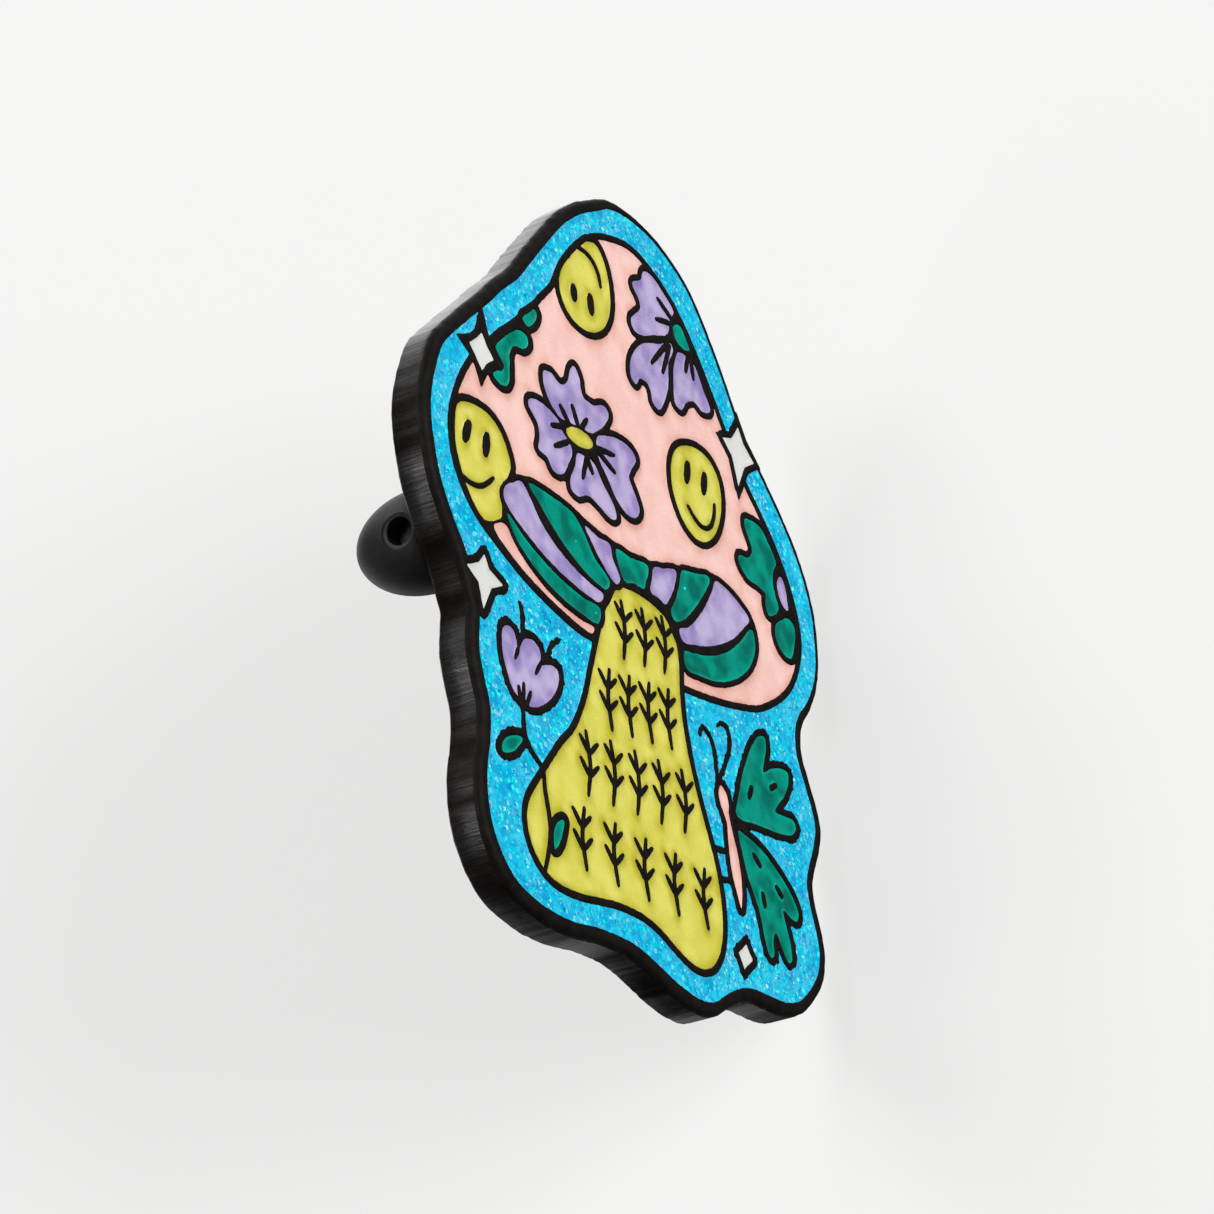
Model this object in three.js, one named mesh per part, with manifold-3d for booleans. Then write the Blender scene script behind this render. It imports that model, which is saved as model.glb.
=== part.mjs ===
// Soft-enamel mushroom pin: die-struck metal plate with raised lines, one enamel fill per
// recessed cell, two posts and two push-on clutches. Millimetres, +Z up, face toward -Y.
import * as THREE from 'three';
import { mergeVertices } from 'three/addons/utils/BufferGeometryUtils.js';
import Module from 'manifold-3d';

const PLATE_THICKNESS = 2.1;      // back face to the top of the raised lines
const CELL_DEPTH = 0.62;          // how far the cells are sunk below the raised lines
const ENAMEL_RECESS = 0.1;        // enamel top below the raised lines
const FIT_GAP = 0.012;            // clearance between enamel and its cell
const LINE = 0.45;                // width of a raised line between two cells
const RIM = 0.78;                 // from the glitter to the side wall
const RIM_ROUND = 0.42;           // rounding of the rim's front edge
const ROUND_STEPS = 2;
const STROKE = 0.34;              // width of the fine raised strokes
const CHORD_ERROR = 0.08;         // largest gap allowed between an outline and its smooth curve
const ARTWORK_ORIGIN = [1.5, 0.2];// where the middle between the posts falls on the artwork
const POST_SPACING = 29.8;        // centre to centre
const POST_RADIUS = 0.5;
const POST_LENGTH = 4.7;
const POST_FOOT_RADIUS = 0.95;
const CLUTCH_RADIUS = 2.82;
const CLUTCH_HEIGHT = 5.5;
const CLUTCH_BORE_RADIUS = 0.53;
const CLUTCH_BORE_DEPTH = 4.9;
const CLUTCH_PLATE_GAP = 0.27;
const DOME_RINGS = 5;
const DIMPLE_RADIUS = 0.74;
const DIMPLE_RIM_RADIUS = 1.02;
const DIMPLE_RIM_DEPTH = 0.22;
const DIMPLE_FLOOR = 1.45;        // distance of the dimple floor from the post axis
const DIMPLE_HEIGHT = 1.38;       // dimple axis above the plate
const DIMPLE_ANGLE = -169.5;       // direction of the dimple seen from the front, degrees

const LOOKS = {
  plate: { color: 0x2c2826, metalness: 0.8, roughness: 0.45 },
  post: { color: 0x3a3735, metalness: 0.9, roughness: 0.35 },
  clutch: { color: 0x1b1a1a, roughness: 0.8 },
  blue: { color: 0x16ace0 },
  pink: { color: 0xf3c9bf },
  yellow: { color: 0xdcd75e },
  green: { color: 0x069b85 },
  purple: { color: 0xb3a0d7 },
  white: { color: 0xebebe8 },
};
const COLOUR_RULES = [[/^(smiley|centre_flower_disc)/, 'yellow'], [/^(petal|edge_petal|tulip$)/, 'purple'],
  [/purple$|^green_flower_disc/, 'purple'], [/green$|leaf|^green|^wing|^edge_flower_disc/, 'green'],
  [/^(butterfly_body|cap_lip)/, 'pink'], [/^sparkle/, 'white']];

const wasm = await Module();
wasm.setup();

// ---------- artwork, drawn face-on in millimetres ----------
const FIELD = [[1.3, 27], [2.8, 27.28], [4.4, 27.28], [6.3, 27], [8, 26.4], [9.6, 25.5], [10.9, 24.2],
  [12.2, 22.5], [13.3, 20.9], [14, 19.75], [14.9, 18.3], [16.2, 17], [17.3, 15.95], [18.3, 15],
  [19.6, 13.7], [20.9, 12.1], [21.85, 10.4], [22.4, 8.7], [22.5, 7], [22.4, 5.5], [21.95, 4],
  [21.1, 2.5], [20, 1.15], [19.45, -0.15], [19.45, -1.7], [20.1, -3.2], [20.8, -4.7], [21.05, -5.8],
  [20.65, -7.1], [19.9, -8.6], [19.5, -9.75], [19.65, -11], [20.2, -12.6], [20.4, -13.9],
  [20, -15.2], [18.9, -16.5], [17.5, -17.55], [16, -18.05], [13.9, -18.2], [12.2, -18.3],
  [10.9, -18.65], [9.4, -19.4], [8, -20.25], [6.5, -20.55], [4.4, -20.35], [2.2, -19.8], [0.2, -19.35],
  [-1.5, -19.3], [-3.7, -19.45], [-5.9, -19.8], [-7.8, -19.85], [-9.6, -19.65], [-11.3, -19.1],
  [-12.5, -18], [-13.25, -16.7], [-13.55, -15.2], [-13.5, -13.7], [-13.15, -12], [-13.1, -10.2],
  [-13.5, -8.9], [-13.9, -7.4], [-13.85, -6.2], [-13.75, -4.7], [-14.2, -3.6], [-14.9, -2],
  [-16, -0.45], [-16.95, 1.3], [-17.45, 3.05], [-17.7, 5], [-17.55, 6.4], [-17.05, 8.05],
  [-16.4, 9.55], [-15.55, 10.55], [-14.55, 11.6], [-12.95, 13.2], [-11.85, 14.3], [-10.45, 15.8],
  [-8.95, 17.2], [-7.15, 19.45], [-5.4, 21.6], [-3.65, 23.6], [-1.75, 25.2], [0, 26.3]];
const CAP = [[1.3, 24.8], [2.8, 25.2], [4.1, 25.2], [5.4, 24.85], [7, 24.1], [8.5, 23.1], [9.8, 21.8],
  [11.1, 20.2], [12.2, 18.7], [13.2, 17.3], [14.2, 15.9], [15.3, 14.6], [16.6, 13.4], [17.8, 12.2],
  [18.9, 10.9], [19.8, 9.4], [20.35, 8], [20.6, 6.6], [20.4, 5.3], [19.8, 3.9], [18.9, 2.65],
  [17.8, 1.67], [16.5, 0.8], [15, 0], [13, -0.6], [10.9, -1.1], [8.7, -1.5], [6.9, -1.75], [2, -2.4],
  [-2.7, -2.28], [-4.35, -2.28], [-6.1, -2], [-7.8, -1.63], [-9.6, -1.1], [-11.1, -0.48],
  [-12.4, 0.1], [-13.6, 0.75], [-14.7, 1.8], [-15.4, 3], [-15.7, 4.4], [-15.6, 5.8], [-15.1, 7.2],
  [-14.4, 8.6], [-13.4, 10], [-12.2, 11.2], [-10.9, 12.6], [-9.4, 13.95], [-8, 15.3], [-6.5, 17],
  [-5.2, 18.5], [-4.5, 19.8], [-3.5, 21.3], [-2.2, 22.7], [-0.9, 23.8], [0.2, 24.4]];
const STEM = [[2.4, 2.4], [3.5, 2.43], [4.6, 2.15], [5.45, 1.55], [6.1, 0.65], [6.27, -0.6], [6.2, -2.1],
  [6.24, -3.65], [6.5, -5.2], [6.95, -6.9], [7.6, -8.65], [8.35, -10.4], [9, -12.1], [9.35, -13.9],
  [9.35, -15.6], [9, -16.9], [8.25, -18], [7.2, -18.6], [5.9, -18.7], [4.35, -18.3], [2.8, -17.7],
  [1.3, -17.35], [-0.2, -17.3], [-1.7, -17.4], [-3.5, -17.7], [-5.2, -18], [-7, -18.1], [-8.2, -17.9],
  [-9.2, -17.3], [-9.85, -16.4], [-10.05, -15.3], [-9.75, -14.3], [-9.1, -13.4], [-8.3, -12.4],
  [-7.4, -11.3], [-6.4, -10.1], [-5.2, -8.9], [-4.35, -7.6], [-3.7, -6.3], [-3.15, -4.8], [-2.6, -3.3],
  [-1.95, -1.6], [-1.4, -0.25], [-0.7, 0.95], [0.3, 1.8], [1.3, 2.2]];
const VINE = [[-8.25, -12.2], [-8.25, -13.1], [-8, -14.2], [-7.85, -15.4], [-8.1, -16.6], [-8.55, -17.9]];

const SMILEYS = {
  smiley_top: {
    face: [[-4.65, 19.1], [-4.45, 18.2], [-3.8, 17.5], [-2.6, 17.2], [-1.3, 17.45], [-0.15, 18.2],
      [0.6, 19.3], [0.9, 20.6], [0.78, 22], [0.35, 23.1], [-0.35, 23.75], [-1.2, 23.6], [-2.2, 22.75],
      [-3.4, 21.4], [-4.35, 20.1]],
    eyes: [[[-3.07, 18.85], [-3.1, 19.6]], [[-1.3, 18.8], [-1.35, 19.8]]],
    smile: [[-2.6, 22.55], [-1.7, 22.65], [-0.9, 22.4], [-0.35, 21.8], [-0.15, 21.05]],
  },
  smiley_left: {
    face: [[-13.3, 7.2], [-14.5, 6.95], [-15.25, 6.4], [-15.52, 5.2], [-15.5, 3.9], [-15.1, 2.75],
      [-14.55, 1.75], [-13.8, 0.9], [-13.05, 0.52], [-12.2, 0.8], [-11.35, 1.4], [-11.3, 2.1],
      [-11.5, 2.8], [-11.2, 3.45], [-10.65, 4.05], [-10.3, 4.9], [-10.65, 5.9], [-11.3, 6.7],
      [-12.2, 7.15]],
    eyes: [[[-14.6, 4.65], [-14.2, 5.75]], [[-12.7, 4.6], [-12.5, 5.75]]],
    smile: [[-15.4, 2.4], [-14.3, 2.2], [-13.3, 2.4], [-12.55, 2.9], [-12.05, 3.4]],
  },
  smiley_right: {
    face: [[6.6, 11.1], [6.74, 12.6], [7.5, 13.8], [8.7, 14.5], [10, 14.8], [11.3, 14.6], [12.15, 13.8],
      [12.4, 12.4], [12.05, 10.9], [11.2, 9.5], [10, 8.65], [8.9, 8.5], [7.75, 9], [6.95, 10]],
    eyes: [[[8.4, 12.05], [8.65, 13.25]], [[10.3, 12.1], [10.55, 13.3]]],
    smile: [[8.35, 10.35], [9.1, 9.8], [10, 9.6], [10.85, 10], [11.35, 10.9], [11.5, 11.75]],
  },
};
const CENTRE_FLOWER = {
  petal_top: [[-6.2, 10.75], [-6.7, 11.6], [-6.65, 12.4], [-5.9, 12.65], [-4.95, 12.35], [-4.25, 12.8],
    [-3.85, 13.8], [-3.4, 14.2], [-3, 13.8], [-2.65, 12.65], [-1.5, 12.55], [-0.45, 13], [0, 12.75],
    [-0.4, 11.9], [-1.45, 10.95], [-1.9, 10.65], [-3, 10.5], [-4.45, 10.3], [-5.2, 10.2]],
  petal_right: [[-1.3, 10.6], [0.2, 11.3], [1.3, 11.5], [2.3, 11.4], [2.75, 11], [2.25, 10.2],
    [1.9, 9.45], [2.45, 8.6], [2.85, 7.75], [2.4, 7.1], [1.3, 6.95], [0.4, 7.4], [-0.4, 8.3],
    [-1.25, 9.2], [-1.5, 9.9]],
  petal_bottom: [[-1.9, 8.75], [-0.9, 7.75], [0.1, 6.85], [0.3, 6.2], [-0.4, 5.9], [-1.5, 6.2],
    [-2.6, 6.4], [-3.7, 5.9], [-4.35, 6.05], [-4.4, 6.5], [-3.85, 7.6], [-3.5, 8.6], [-2.9, 8.75]],
  petal_left: [[-4.95, 9.35], [-5.2, 9.8], [-5.9, 10.1], [-7, 10.25], [-8.1, 10], [-8.35, 9.55],
    [-7.5, 8.75], [-7.35, 7.8], [-7.5, 7.2], [-6.7, 7.05], [-6.1, 6.45], [-5.1, 6.7], [-4.5, 7.6],
    [-4.05, 8.5], [-4.35, 9]],
};
const CENTRE_STAMENS = [[[-3.85, 11.5], [-3.5, 10.8]], [[-5.1, 10.95], [-4.5, 10.4]],
  [[-2.35, 11.3], [-2.8, 10.7]], [[-6.05, 9.3], [-5.2, 9.6]], [[-5.8, 8.1], [-4.75, 8.75]],
  [[0.35, 10.2], [-1.1, 9.95]], [[0.35, 9.1], [-1.1, 9.6]], [[-3.05, 7.3], [-2.65, 8.5]],
  [[-2.05, 8], [-2.35, 8.5]]];
const RIGHT_FLOWER = {
  edge_petal_top: [[5.05, 24.65], [5.9, 24.65], [7.15, 24.05], [8.1, 23.35], [7.65, 22.75],
    [7.4, 21.75], [7.1, 21.35], [5.4, 20.5], [4.1, 19.9], [3.3, 19.85], [3.05, 20.3], [3.55, 20.95],
    [4.2, 21.65], [4.05, 22.3], [3.45, 22.9], [3.65, 23.25], [4.45, 23.75], [4.7, 24.35]],
  edge_petal_middle: [[7.35, 20.9], [6.3, 20.25], [4.5, 19.45], [3.5, 18.6], [2.75, 17.4],
    [2.7, 16.4], [3.15, 16.15], [3.75, 16.8], [4.4, 16.85], [4.85, 16.4], [5, 15.75], [5.7, 15.6],
    [6.4, 16.5], [6.95, 17.8], [7.1, 19.3], [7.75, 20.65]],
  edge_petal_right: [[8.4, 20.65], [7.75, 19.4], [7.55, 18], [7.6, 16.85], [8.3, 16.75], [8.9, 17.5],
    [9.8, 18], [10.65, 17.75], [11.4, 17.95], [11.75, 18.3], [11.1, 19.3], [10.2, 20.6], [9.4, 20.8]],
};
const EDGE_STAMENS = [[[6.3, 23.4], [7.35, 22.9]], [[6, 21.85], [7.2, 22.2]], [[5.2, 18.5], [6.9, 20.45]],
  [[6.4, 18.4], [7.2, 20.2]], [[9.35, 20.5], [9.1, 19.7]], [[9.95, 19.6], [9.85, 20.4]]];
const GILLS = {
  gill_1_purple: [[-9.3, 4.3], [-10, 3.95], [-10.9, 3.3], [-11.05, 2.65], [-10.6, 2.2], [-9.1, 1.45],
    [-7.4, 0.8], [-5.2, 0.3], [-3.3, 0.08], [-2, 0.12], [-1.55, 0.62], [-2.6, 0.76], [-4.35, 1.1],
    [-6.1, 1.72], [-7.6, 2.65], [-8.6, 3.75]],
  gill_2_green: [[-10.75, 1.75], [-9.1, 0.9], [-7.6, 0.35], [-5.65, -0.15], [-3.5, -0.4], [-1.95, -0.4],
    [-2.2, -1.25], [-3.9, -1.3], [-5.65, -1.13], [-7.4, -0.7], [-9.1, 0.04], [-10.2, 0.85]],
  gill_3_green: [[-8.55, 4.5], [-6.5, 4.65], [-4.15, 4.45], [-3.3, 3.8], [-2.25, 2.6], [-0.85, 1.75],
    [-1.2, 1.2], [-2, 1.2], [-3.5, 1.5], [-5.2, 2.2], [-6.7, 3.1], [-7.8, 3.95]],
  gill_4_purple: [[-3.05, 4.2], [-1.7, 4.05], [-0.6, 4.1], [-0.4, 3.4], [0.3, 2.35], [-0.2, 1.95],
    [-1.1, 2.4], [-1.95, 3.05], [-2.6, 3.7]],
  gill_5_green: [[0.1, 4.05], [1.7, 4.15], [3.4, 4.35], [3.05, 3.3], [2.85, 2.87], [1.7, 2.75],
    [0.8, 2.5], [0.35, 3.1]],
  gill_6_purple: [[4.1, 4.5], [5.2, 4.9], [6.5, 5.3], [6.25, 4.4], [5.6, 3.3], [5.05, 2.75],
    [4.35, 2.88], [3.6, 2.92], [3.8, 3.6]],
  gill_7_green: [[7.25, 5.55], [8.7, 6], [10.3, 6.4], [9.95, 5.7], [9.1, 4.6], [8.05, 3.45],
    [7, 2.5], [6, 2.1], [5.75, 2.35], [6.3, 3.3], [6.85, 4.5]],
  gill_8_purple: [[11.1, 6.45], [12.4, 6.4], [13.7, 6], [14.7, 5.45], [14.05, 4.75], [12.8, 3.6],
    [11.3, 2.65], [9.6, 1.85], [8.05, 1.35], [6.8, 1.1], [6.55, 1.55], [7.6, 2.1], [8.7, 3.1],
    [9.8, 4.4], [10.6, 5.6]],
  gill_9_green: [[15.05, 4.8], [15.25, 4.15], [15, 3.2], [14.2, 2.1], [13.05, 1.15], [11.7, 0.4],
    [10.2, -0.15], [8.5, -0.42], [7, -0.5], [6.95, 0.32], [8.05, 0.65], [9.35, 0.98], [10.9, 1.6],
    [12.4, 2.5], [13.7, 3.6], [14.55, 4.5]],
};
const GREENERY = {
  cap_leaf_small: [[-8.6, 14.85], [-8.15, 14.6], [-7.45, 15.1], [-7.05, 15.85], [-7.25, 16.1],
    [-7.85, 15.6]],
  cap_leaf_large: [[-11.4, 11.7], [-10.65, 12.6], [-9.6, 13.55], [-8.95, 13.95], [-8.25, 13.95],
    [-8.05, 13.5], [-8.65, 12.9], [-9.5, 12.7], [-9.95, 12.05], [-10.02, 11.2], [-10.08, 10.3],
    [-10.45, 9.75], [-11.2, 9.6], [-11.75, 9.85], [-11.3, 10.3], [-10.75, 10.55], [-10.65, 10.9],
    [-11, 11.25]],
  green_petal_large: [[15.15, 12.3], [16.1, 12.5], [17, 12.45], [17.75, 11.8], [18.6, 10.75],
    [18.2, 10.1], [18, 9.15], [18.25, 8.3], [18.5, 7.65], [17.8, 6.95], [17.1, 6.75], [16.9, 7.2],
    [16.95, 8], [16.1, 8.25], [14.8, 8.3], [13.95, 9], [14.15, 9.45], [15.2, 9.7], [15.7, 10.3],
    [15.5, 10.9], [15.1, 11.5], [14.98, 12]],
  green_petal_small: [[20.2, 7.2], [19.55, 7.35], [18.75, 6.9], [18, 6.3], [17.85, 5.5], [18.35, 4.85],
    [19.1, 4.65], [19.7, 4.85], [20.1, 5.7], [20.35, 6.6]],
  tulip_leaf: [[-12.15, -12.35], [-11.95, -11.75], [-11.1, -11.15], [-10.1, -10.95], [-10.45, -11.5],
    [-11.25, -12.15]],
  stem_leaf: [[-7.55, -16.3], [-7.55, -15.3], [-7.05, -14.6], [-6.5, -14.35], [-6.7, -15.2],
    [-7.1, -15.95]],
};
const TULIP = [[-11.8, -6], [-11.7, -5.35], [-11.2, -4.9], [-10.6, -5], [-10.35, -5.6], [-10.25, -6],
  [-10.05, -5.7], [-9.65, -5.15], [-8.85, -4.85], [-8.2, -5.15], [-8.1, -5.7], [-8.25, -6.1],
  [-7.8, -5.95], [-7.15, -5.7], [-6.5, -5.75], [-6.4, -6.3], [-6.8, -7.15], [-7.6, -8], [-8.6, -8.65],
  [-9.6, -8.9], [-10.9, -8.5], [-11.45, -7.6], [-11.75, -6.8]];
const TULIP_LINES = [[[-10.55, -6.55], [-10.2, -5.8]], [[-8.65, -6.75], [-8.1, -5.9]],
  [[-10.35, -8.1], [-10.2, -8.95]], [[-9.85, -7.75], [-9.95, -9]], [[-9.2, -8], [-9.65, -8.95]]];
const TULIP_OUTER_LINES = [[[-9.95, -3.1], [-9.75, -3.8], [-9.8, -4.9]], [[-6.15, -3.85], [-6.9, -4.4],
  [-7.6, -5.4]], [[-9.95, -8.9], [-10, -10.2], [-9.7, -11.1], [-8.6, -11.9], [-8, -12.2]],
[[-10.2, -11], [-9.7, -10.9]]];
const BUTTERFLY = {
  wing_upper: [[11.6, -8], [11.9, -7.1], [12.4, -5.8], [13.05, -4.5], [13.9, -3.1], [14.9, -2.05],
    [15.6, -1.85], [15.75, -2.4], [15.45, -3.3], [15.2, -4.2], [16.1, -3.7], [17.3, -3.25],
    [18.15, -3.25], [18.15, -3.85], [17.55, -4.9], [16.7, -5.75], [16.3, -6.3], [17.4, -6.25],
    [18.4, -6.2], [18.65, -6.6], [18.15, -7.15], [17, -7.5], [15.2, -7.75], [13.5, -7.95], [12.3, -8.15]],
  wing_lower: [[11.75, -9], [12.6, -9], [13.9, -9.2], [15.2, -9.65], [16.65, -10.45], [17.75, -11.3],
    [18.2, -12.1], [17.95, -12.6], [17.3, -12.65], [16.4, -12.4], [16.6, -13.2], [17, -14.3],
    [17, -15.3], [16.5, -15.5], [15.9, -14.9], [15.3, -14.1], [15, -14.7], [14.95, -15.6],
    [14.4, -15.75], [13.95, -14.95], [13.65, -13.65], [13.1, -12.55], [12.5, -11.6], [12.05, -10.4]],
  butterfly_body: [[10.1, -6.75], [10.6, -6.95], [10.9, -7.6], [10.85, -8.3], [11.15, -9.3],
    [11.65, -10.8], [11.8, -12.1], [11.7, -13.3], [11.5, -13.8], [11.15, -13.1], [10.65, -11.7],
    [10.5, -10], [10.45, -8.9], [9.9, -8], [9.75, -7.3]],
};
const WING_MARKS = [[[13.65, -5.7], [13.3, -6.4]], [[15.95, -4.95], [16.5, -4.6]],
  [[13.4, -9.95], [14, -10.4]], [[15.8, -11.2], [16.3, -11.55]], [[14.1, -12.1], [14.25, -12.75]]];
const ANTENNAE = [[[9.75, -7], [9.7, -5.6], [9.55, -4.6], [9, -3.9], [8.4, -3.8], [8.05, -4.25]],
  [[10, -6.4], [10.65, -5.4], [11.25, -4.3], [11.45, -3.4], [11.15, -2.8], [10.65, -2.7], [10.2, -3]]];
const BODY_BARS = [[[8.6, -10.95], [10.4, -10.75]], [[9, -12.75], [10.9, -12.3]]];
// Sparkles: the sharp metal star and the white cell inside it.
const SPARKLES = {
  sparkle_left_edge: {
    metal: [[-13.15, -0.95], [-12.5, -2.15], [-10.9, -2.6], [-12.3, -3.6], [-13.2, -5.3], [-14.2, -4.6],
      [-15.2, -2.9], [-13.95, -2.05]],
    white: [[-13.2, -1.7], [-12.85, -2.4], [-11.75, -2.7], [-12.7, -3.25], [-13.4, -4.6],
      [-13.75, -3.4], [-14.65, -2.85], [-13.65, -2.35]],
  },
  sparkle_cap: {
    metal: [[-12.65, 13.9], [-11.9, 11.7], [-10.85, 10.87], [-12, 10.1], [-12.87, 8.5], [-13.6, 9.95],
      [-15.6, 10.85], [-13.5, 11.6]],
    white: [[-12.8, 12], [-12.35, 11.35], [-11.6, 10.8], [-12.3, 10.3], [-12.83, 9.65],
      [-13.25, 10.35], [-13.8, 10.8], [-13.25, 11.3]],
  },
  sparkle_right_edge: {
    metal: [[14.95, 19.4], [15.85, 17.95], [17.35, 16.7], [15.75, 15.7], [14.5, 13.2], [13.75, 15.85],
      [12.2, 17], [13.7, 17.55]],
    white: [[15, 18.5], [15.45, 17.6], [16.6, 16.75], [15.5, 16.1], [14.6, 14.6], [14.15, 16.1],
      [13.15, 16.9], [14.25, 17.3]],
  },
  sparkle_bottom: {
    metal: [[11.9, -15.2], [12.35, -16], [12.95, -16.5], [12, -17.2], [11.35, -18.15], [10.9, -17.2],
      [10.2, -16.45], [11.15, -16]],
    white: [[11.85, -15.75], [12.15, -16.2], [12.5, -16.55], [11.9, -17], [11.4, -17.45],
      [11.15, -17], [10.85, -16.6], [11.35, -16.2]],
  },
};
const LIP_LEFT = [[-11.05, 1.1], [-12.2, 0.45], [-11.9, 0.1], [-11.1, -0.35], [-9.6, -1], [-7.8, -1.53],
  [-6.1, -1.9], [-4.35, -2.18], [-2.85, -2.2], [-2.6, -1.78], [-3.9, -1.78], [-5.65, -1.62],
  [-7.4, -1.2], [-9.1, -0.45], [-10.25, 0.35]];
// Rows of upright sprigs filling the stem: first and last foot, how many, height and lean.
const SPRIG_ROWS = [
  { first: [0.3, -2.5], last: [4.6, -1.8], count: 3, height: 3.5, lean: 0.25 },
  { first: [-1.3, -7.4], last: [4.9, -6.3], count: 4, height: 3.6, lean: -0.25 },
  { first: [-4, -12.1], last: [5.8, -11], count: 5, height: 3.7, lean: 0.3 },
  { first: [-4.5, -16.5], last: [7.7, -16.1], count: 5, height: 3.5, lean: -0.3 },
];
const LEAF_SPREAD = 0.85;
const LEAF_FEET = [0.3, 0.66];    // where the leaf pairs leave the sprig, as shares of its height

// ---------- outline helpers ----------
const lerp = (a, b, t) => a + (b - a) * t;

// Points along a smooth curve through the given ones: the middle of a span is added only where
// the curve strays from the straight line between its ends.
function sample(points, closed) {
  const knots = points.map(([x, z]) => new THREE.Vector3(x, z, 0));
  const curve = new THREE.CatmullRomCurve3(knots, closed, 'centripetal');
  const spans = closed ? points.length : points.length - 1;
  return points.flatMap((point, i) => {
    if (i >= spans) return [point];
    const middle = curve.getPoint((i + 0.5) / spans);
    const chord = new THREE.Line3(knots[i], knots[(i + 1) % points.length]);
    const nearest = chord.closestPointToPoint(middle, true, new THREE.Vector3());
    return middle.distanceTo(nearest) > CHORD_ERROR ? [point, [middle.x, middle.y]] : [point];
  });
}

function area(polygon) {
  return polygon.reduce((sum, [x, z], i) => {
    const [u, w] = polygon[(i + 1) % polygon.length];
    return sum + (x * w - u * z) / 2;
  }, 0);
}

function distanceToOutline([x, z], polygon) {
  let best = Infinity;
  polygon.forEach(([ax, az], i) => {
    const [bx, bz] = polygon[(i + 1) % polygon.length];
    const dx = bx - ax;
    const dz = bz - az;
    const t = THREE.MathUtils.clamp(((x - ax) * dx + (z - az) * dz) / (dx * dx + dz * dz), 0, 1);
    best = Math.min(best, Math.hypot(ax + dx * t - x, az + dz * t - z));
  });
  return best;
}

// Offsets a closed outline outward (positive) or inward (negative) and drops folded points.
function offset(polygon, amount) {
  const turned = area(polygon) > 0 ? polygon : polygon.slice().reverse();
  const moved = turned.map(([x, z], i) => {
    const [px, pz] = turned[(i + turned.length - 1) % turned.length];
    const [nx, nz] = turned[(i + 1) % turned.length];
    const before = new THREE.Vector2(z - pz, px - x).normalize();
    const after = new THREE.Vector2(nz - z, x - nx).normalize();
    const mid = before.clone().add(after).normalize();
    const reach = amount / Math.max(mid.dot(before), 0.55);
    return [x + mid.x * reach, z + mid.y * reach];
  });
  return moved.filter((p) => distanceToOutline(p, turned) > Math.abs(amount) * 0.93);
}

// Outline of a stroke of constant width with rounded ends.
function strokeOutline(points, width) {
  const line = points.length > 3 ? sample(points, false) : points;
  const half = width / 2;
  const left = [];
  const right = [];
  line.forEach(([x, z], i) => {
    const [px, pz] = line[Math.max(i - 1, 0)];
    const [nx, nz] = line[Math.min(i + 1, line.length - 1)];
    const along = new THREE.Vector2(nx - px, nz - pz).normalize();
    left.push([x - along.y * half, z + along.x * half]);
    right.unshift([x + along.y * half, z - along.x * half]);
  });
  const tip = (a, b) => {
    const run = new THREE.Vector2(a[0] - b[0], a[1] - b[1]).normalize();
    return [a[0] + run.x * half, a[1] + run.y * half];
  };
  return [...left, tip(line.at(-1), line.at(-2)), ...right, tip(line[0], line[1])];
}

// ---------- solids ----------
function toSolid(geometry) {
  const bare = geometry.index ? geometry.toNonIndexed() : geometry;
  bare.deleteAttribute('normal');
  bare.deleteAttribute('uv');
  const merged = mergeVertices(bare, 1e-5);
  return new wasm.Manifold(new wasm.Mesh({
    numProp: 3,
    vertProperties: new Float32Array(merged.attributes.position.array),
    triVerts: new Uint32Array(merged.index.array),
  }));
}

// Extrudes a face-on outline between two depths, measured forward from the back face.
function prism(polygon, back, front) {
  const turned = area(polygon) > 0 ? polygon : polygon.slice().reverse();
  const shape = new THREE.Shape(turned.map(([x, z]) => new THREE.Vector2(x, z)));
  const geometry = new THREE.ExtrudeGeometry(shape, { depth: front - back, bevelEnabled: false });
  geometry.translate(-ARTWORK_ORIGIN[0], -ARTWORK_ORIGIN[1], back);
  geometry.rotateX(Math.PI / 2);
  return toSolid(geometry);
}

// The full-thickness slab of an outline, its front edge rounded.
function roundedSlab(polygon) {
  const inset = offset(polygon, -RIM_ROUND);
  const turned = area(inset) > 0 ? inset : inset.slice().reverse();
  const shape = new THREE.Shape(turned.map(([x, z]) => new THREE.Vector2(x, z)));
  const geometry = new THREE.ExtrudeGeometry(shape, {
    depth: PLATE_THICKNESS,
    bevelThickness: RIM_ROUND,
    bevelSize: RIM_ROUND,
    bevelSegments: ROUND_STEPS,
  });
  geometry.translate(-ARTWORK_ORIGIN[0], -ARTWORK_ORIGIN[1], -RIM_ROUND);
  geometry.rotateX(Math.PI / 2);
  return toSolid(geometry).subtract(prism(offset(polygon, 1), -RIM_ROUND * 3, 0));
}

const FRONT = PLATE_THICKNESS;
const FLOOR = PLATE_THICKNESS - CELL_DEPTH;
const ABOVE = PLATE_THICKNESS + 1;

function subtractAll(solid, cutters) {
  return cutters.reduce((left, cutter) => left.subtract(cutter), solid);
}

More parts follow.
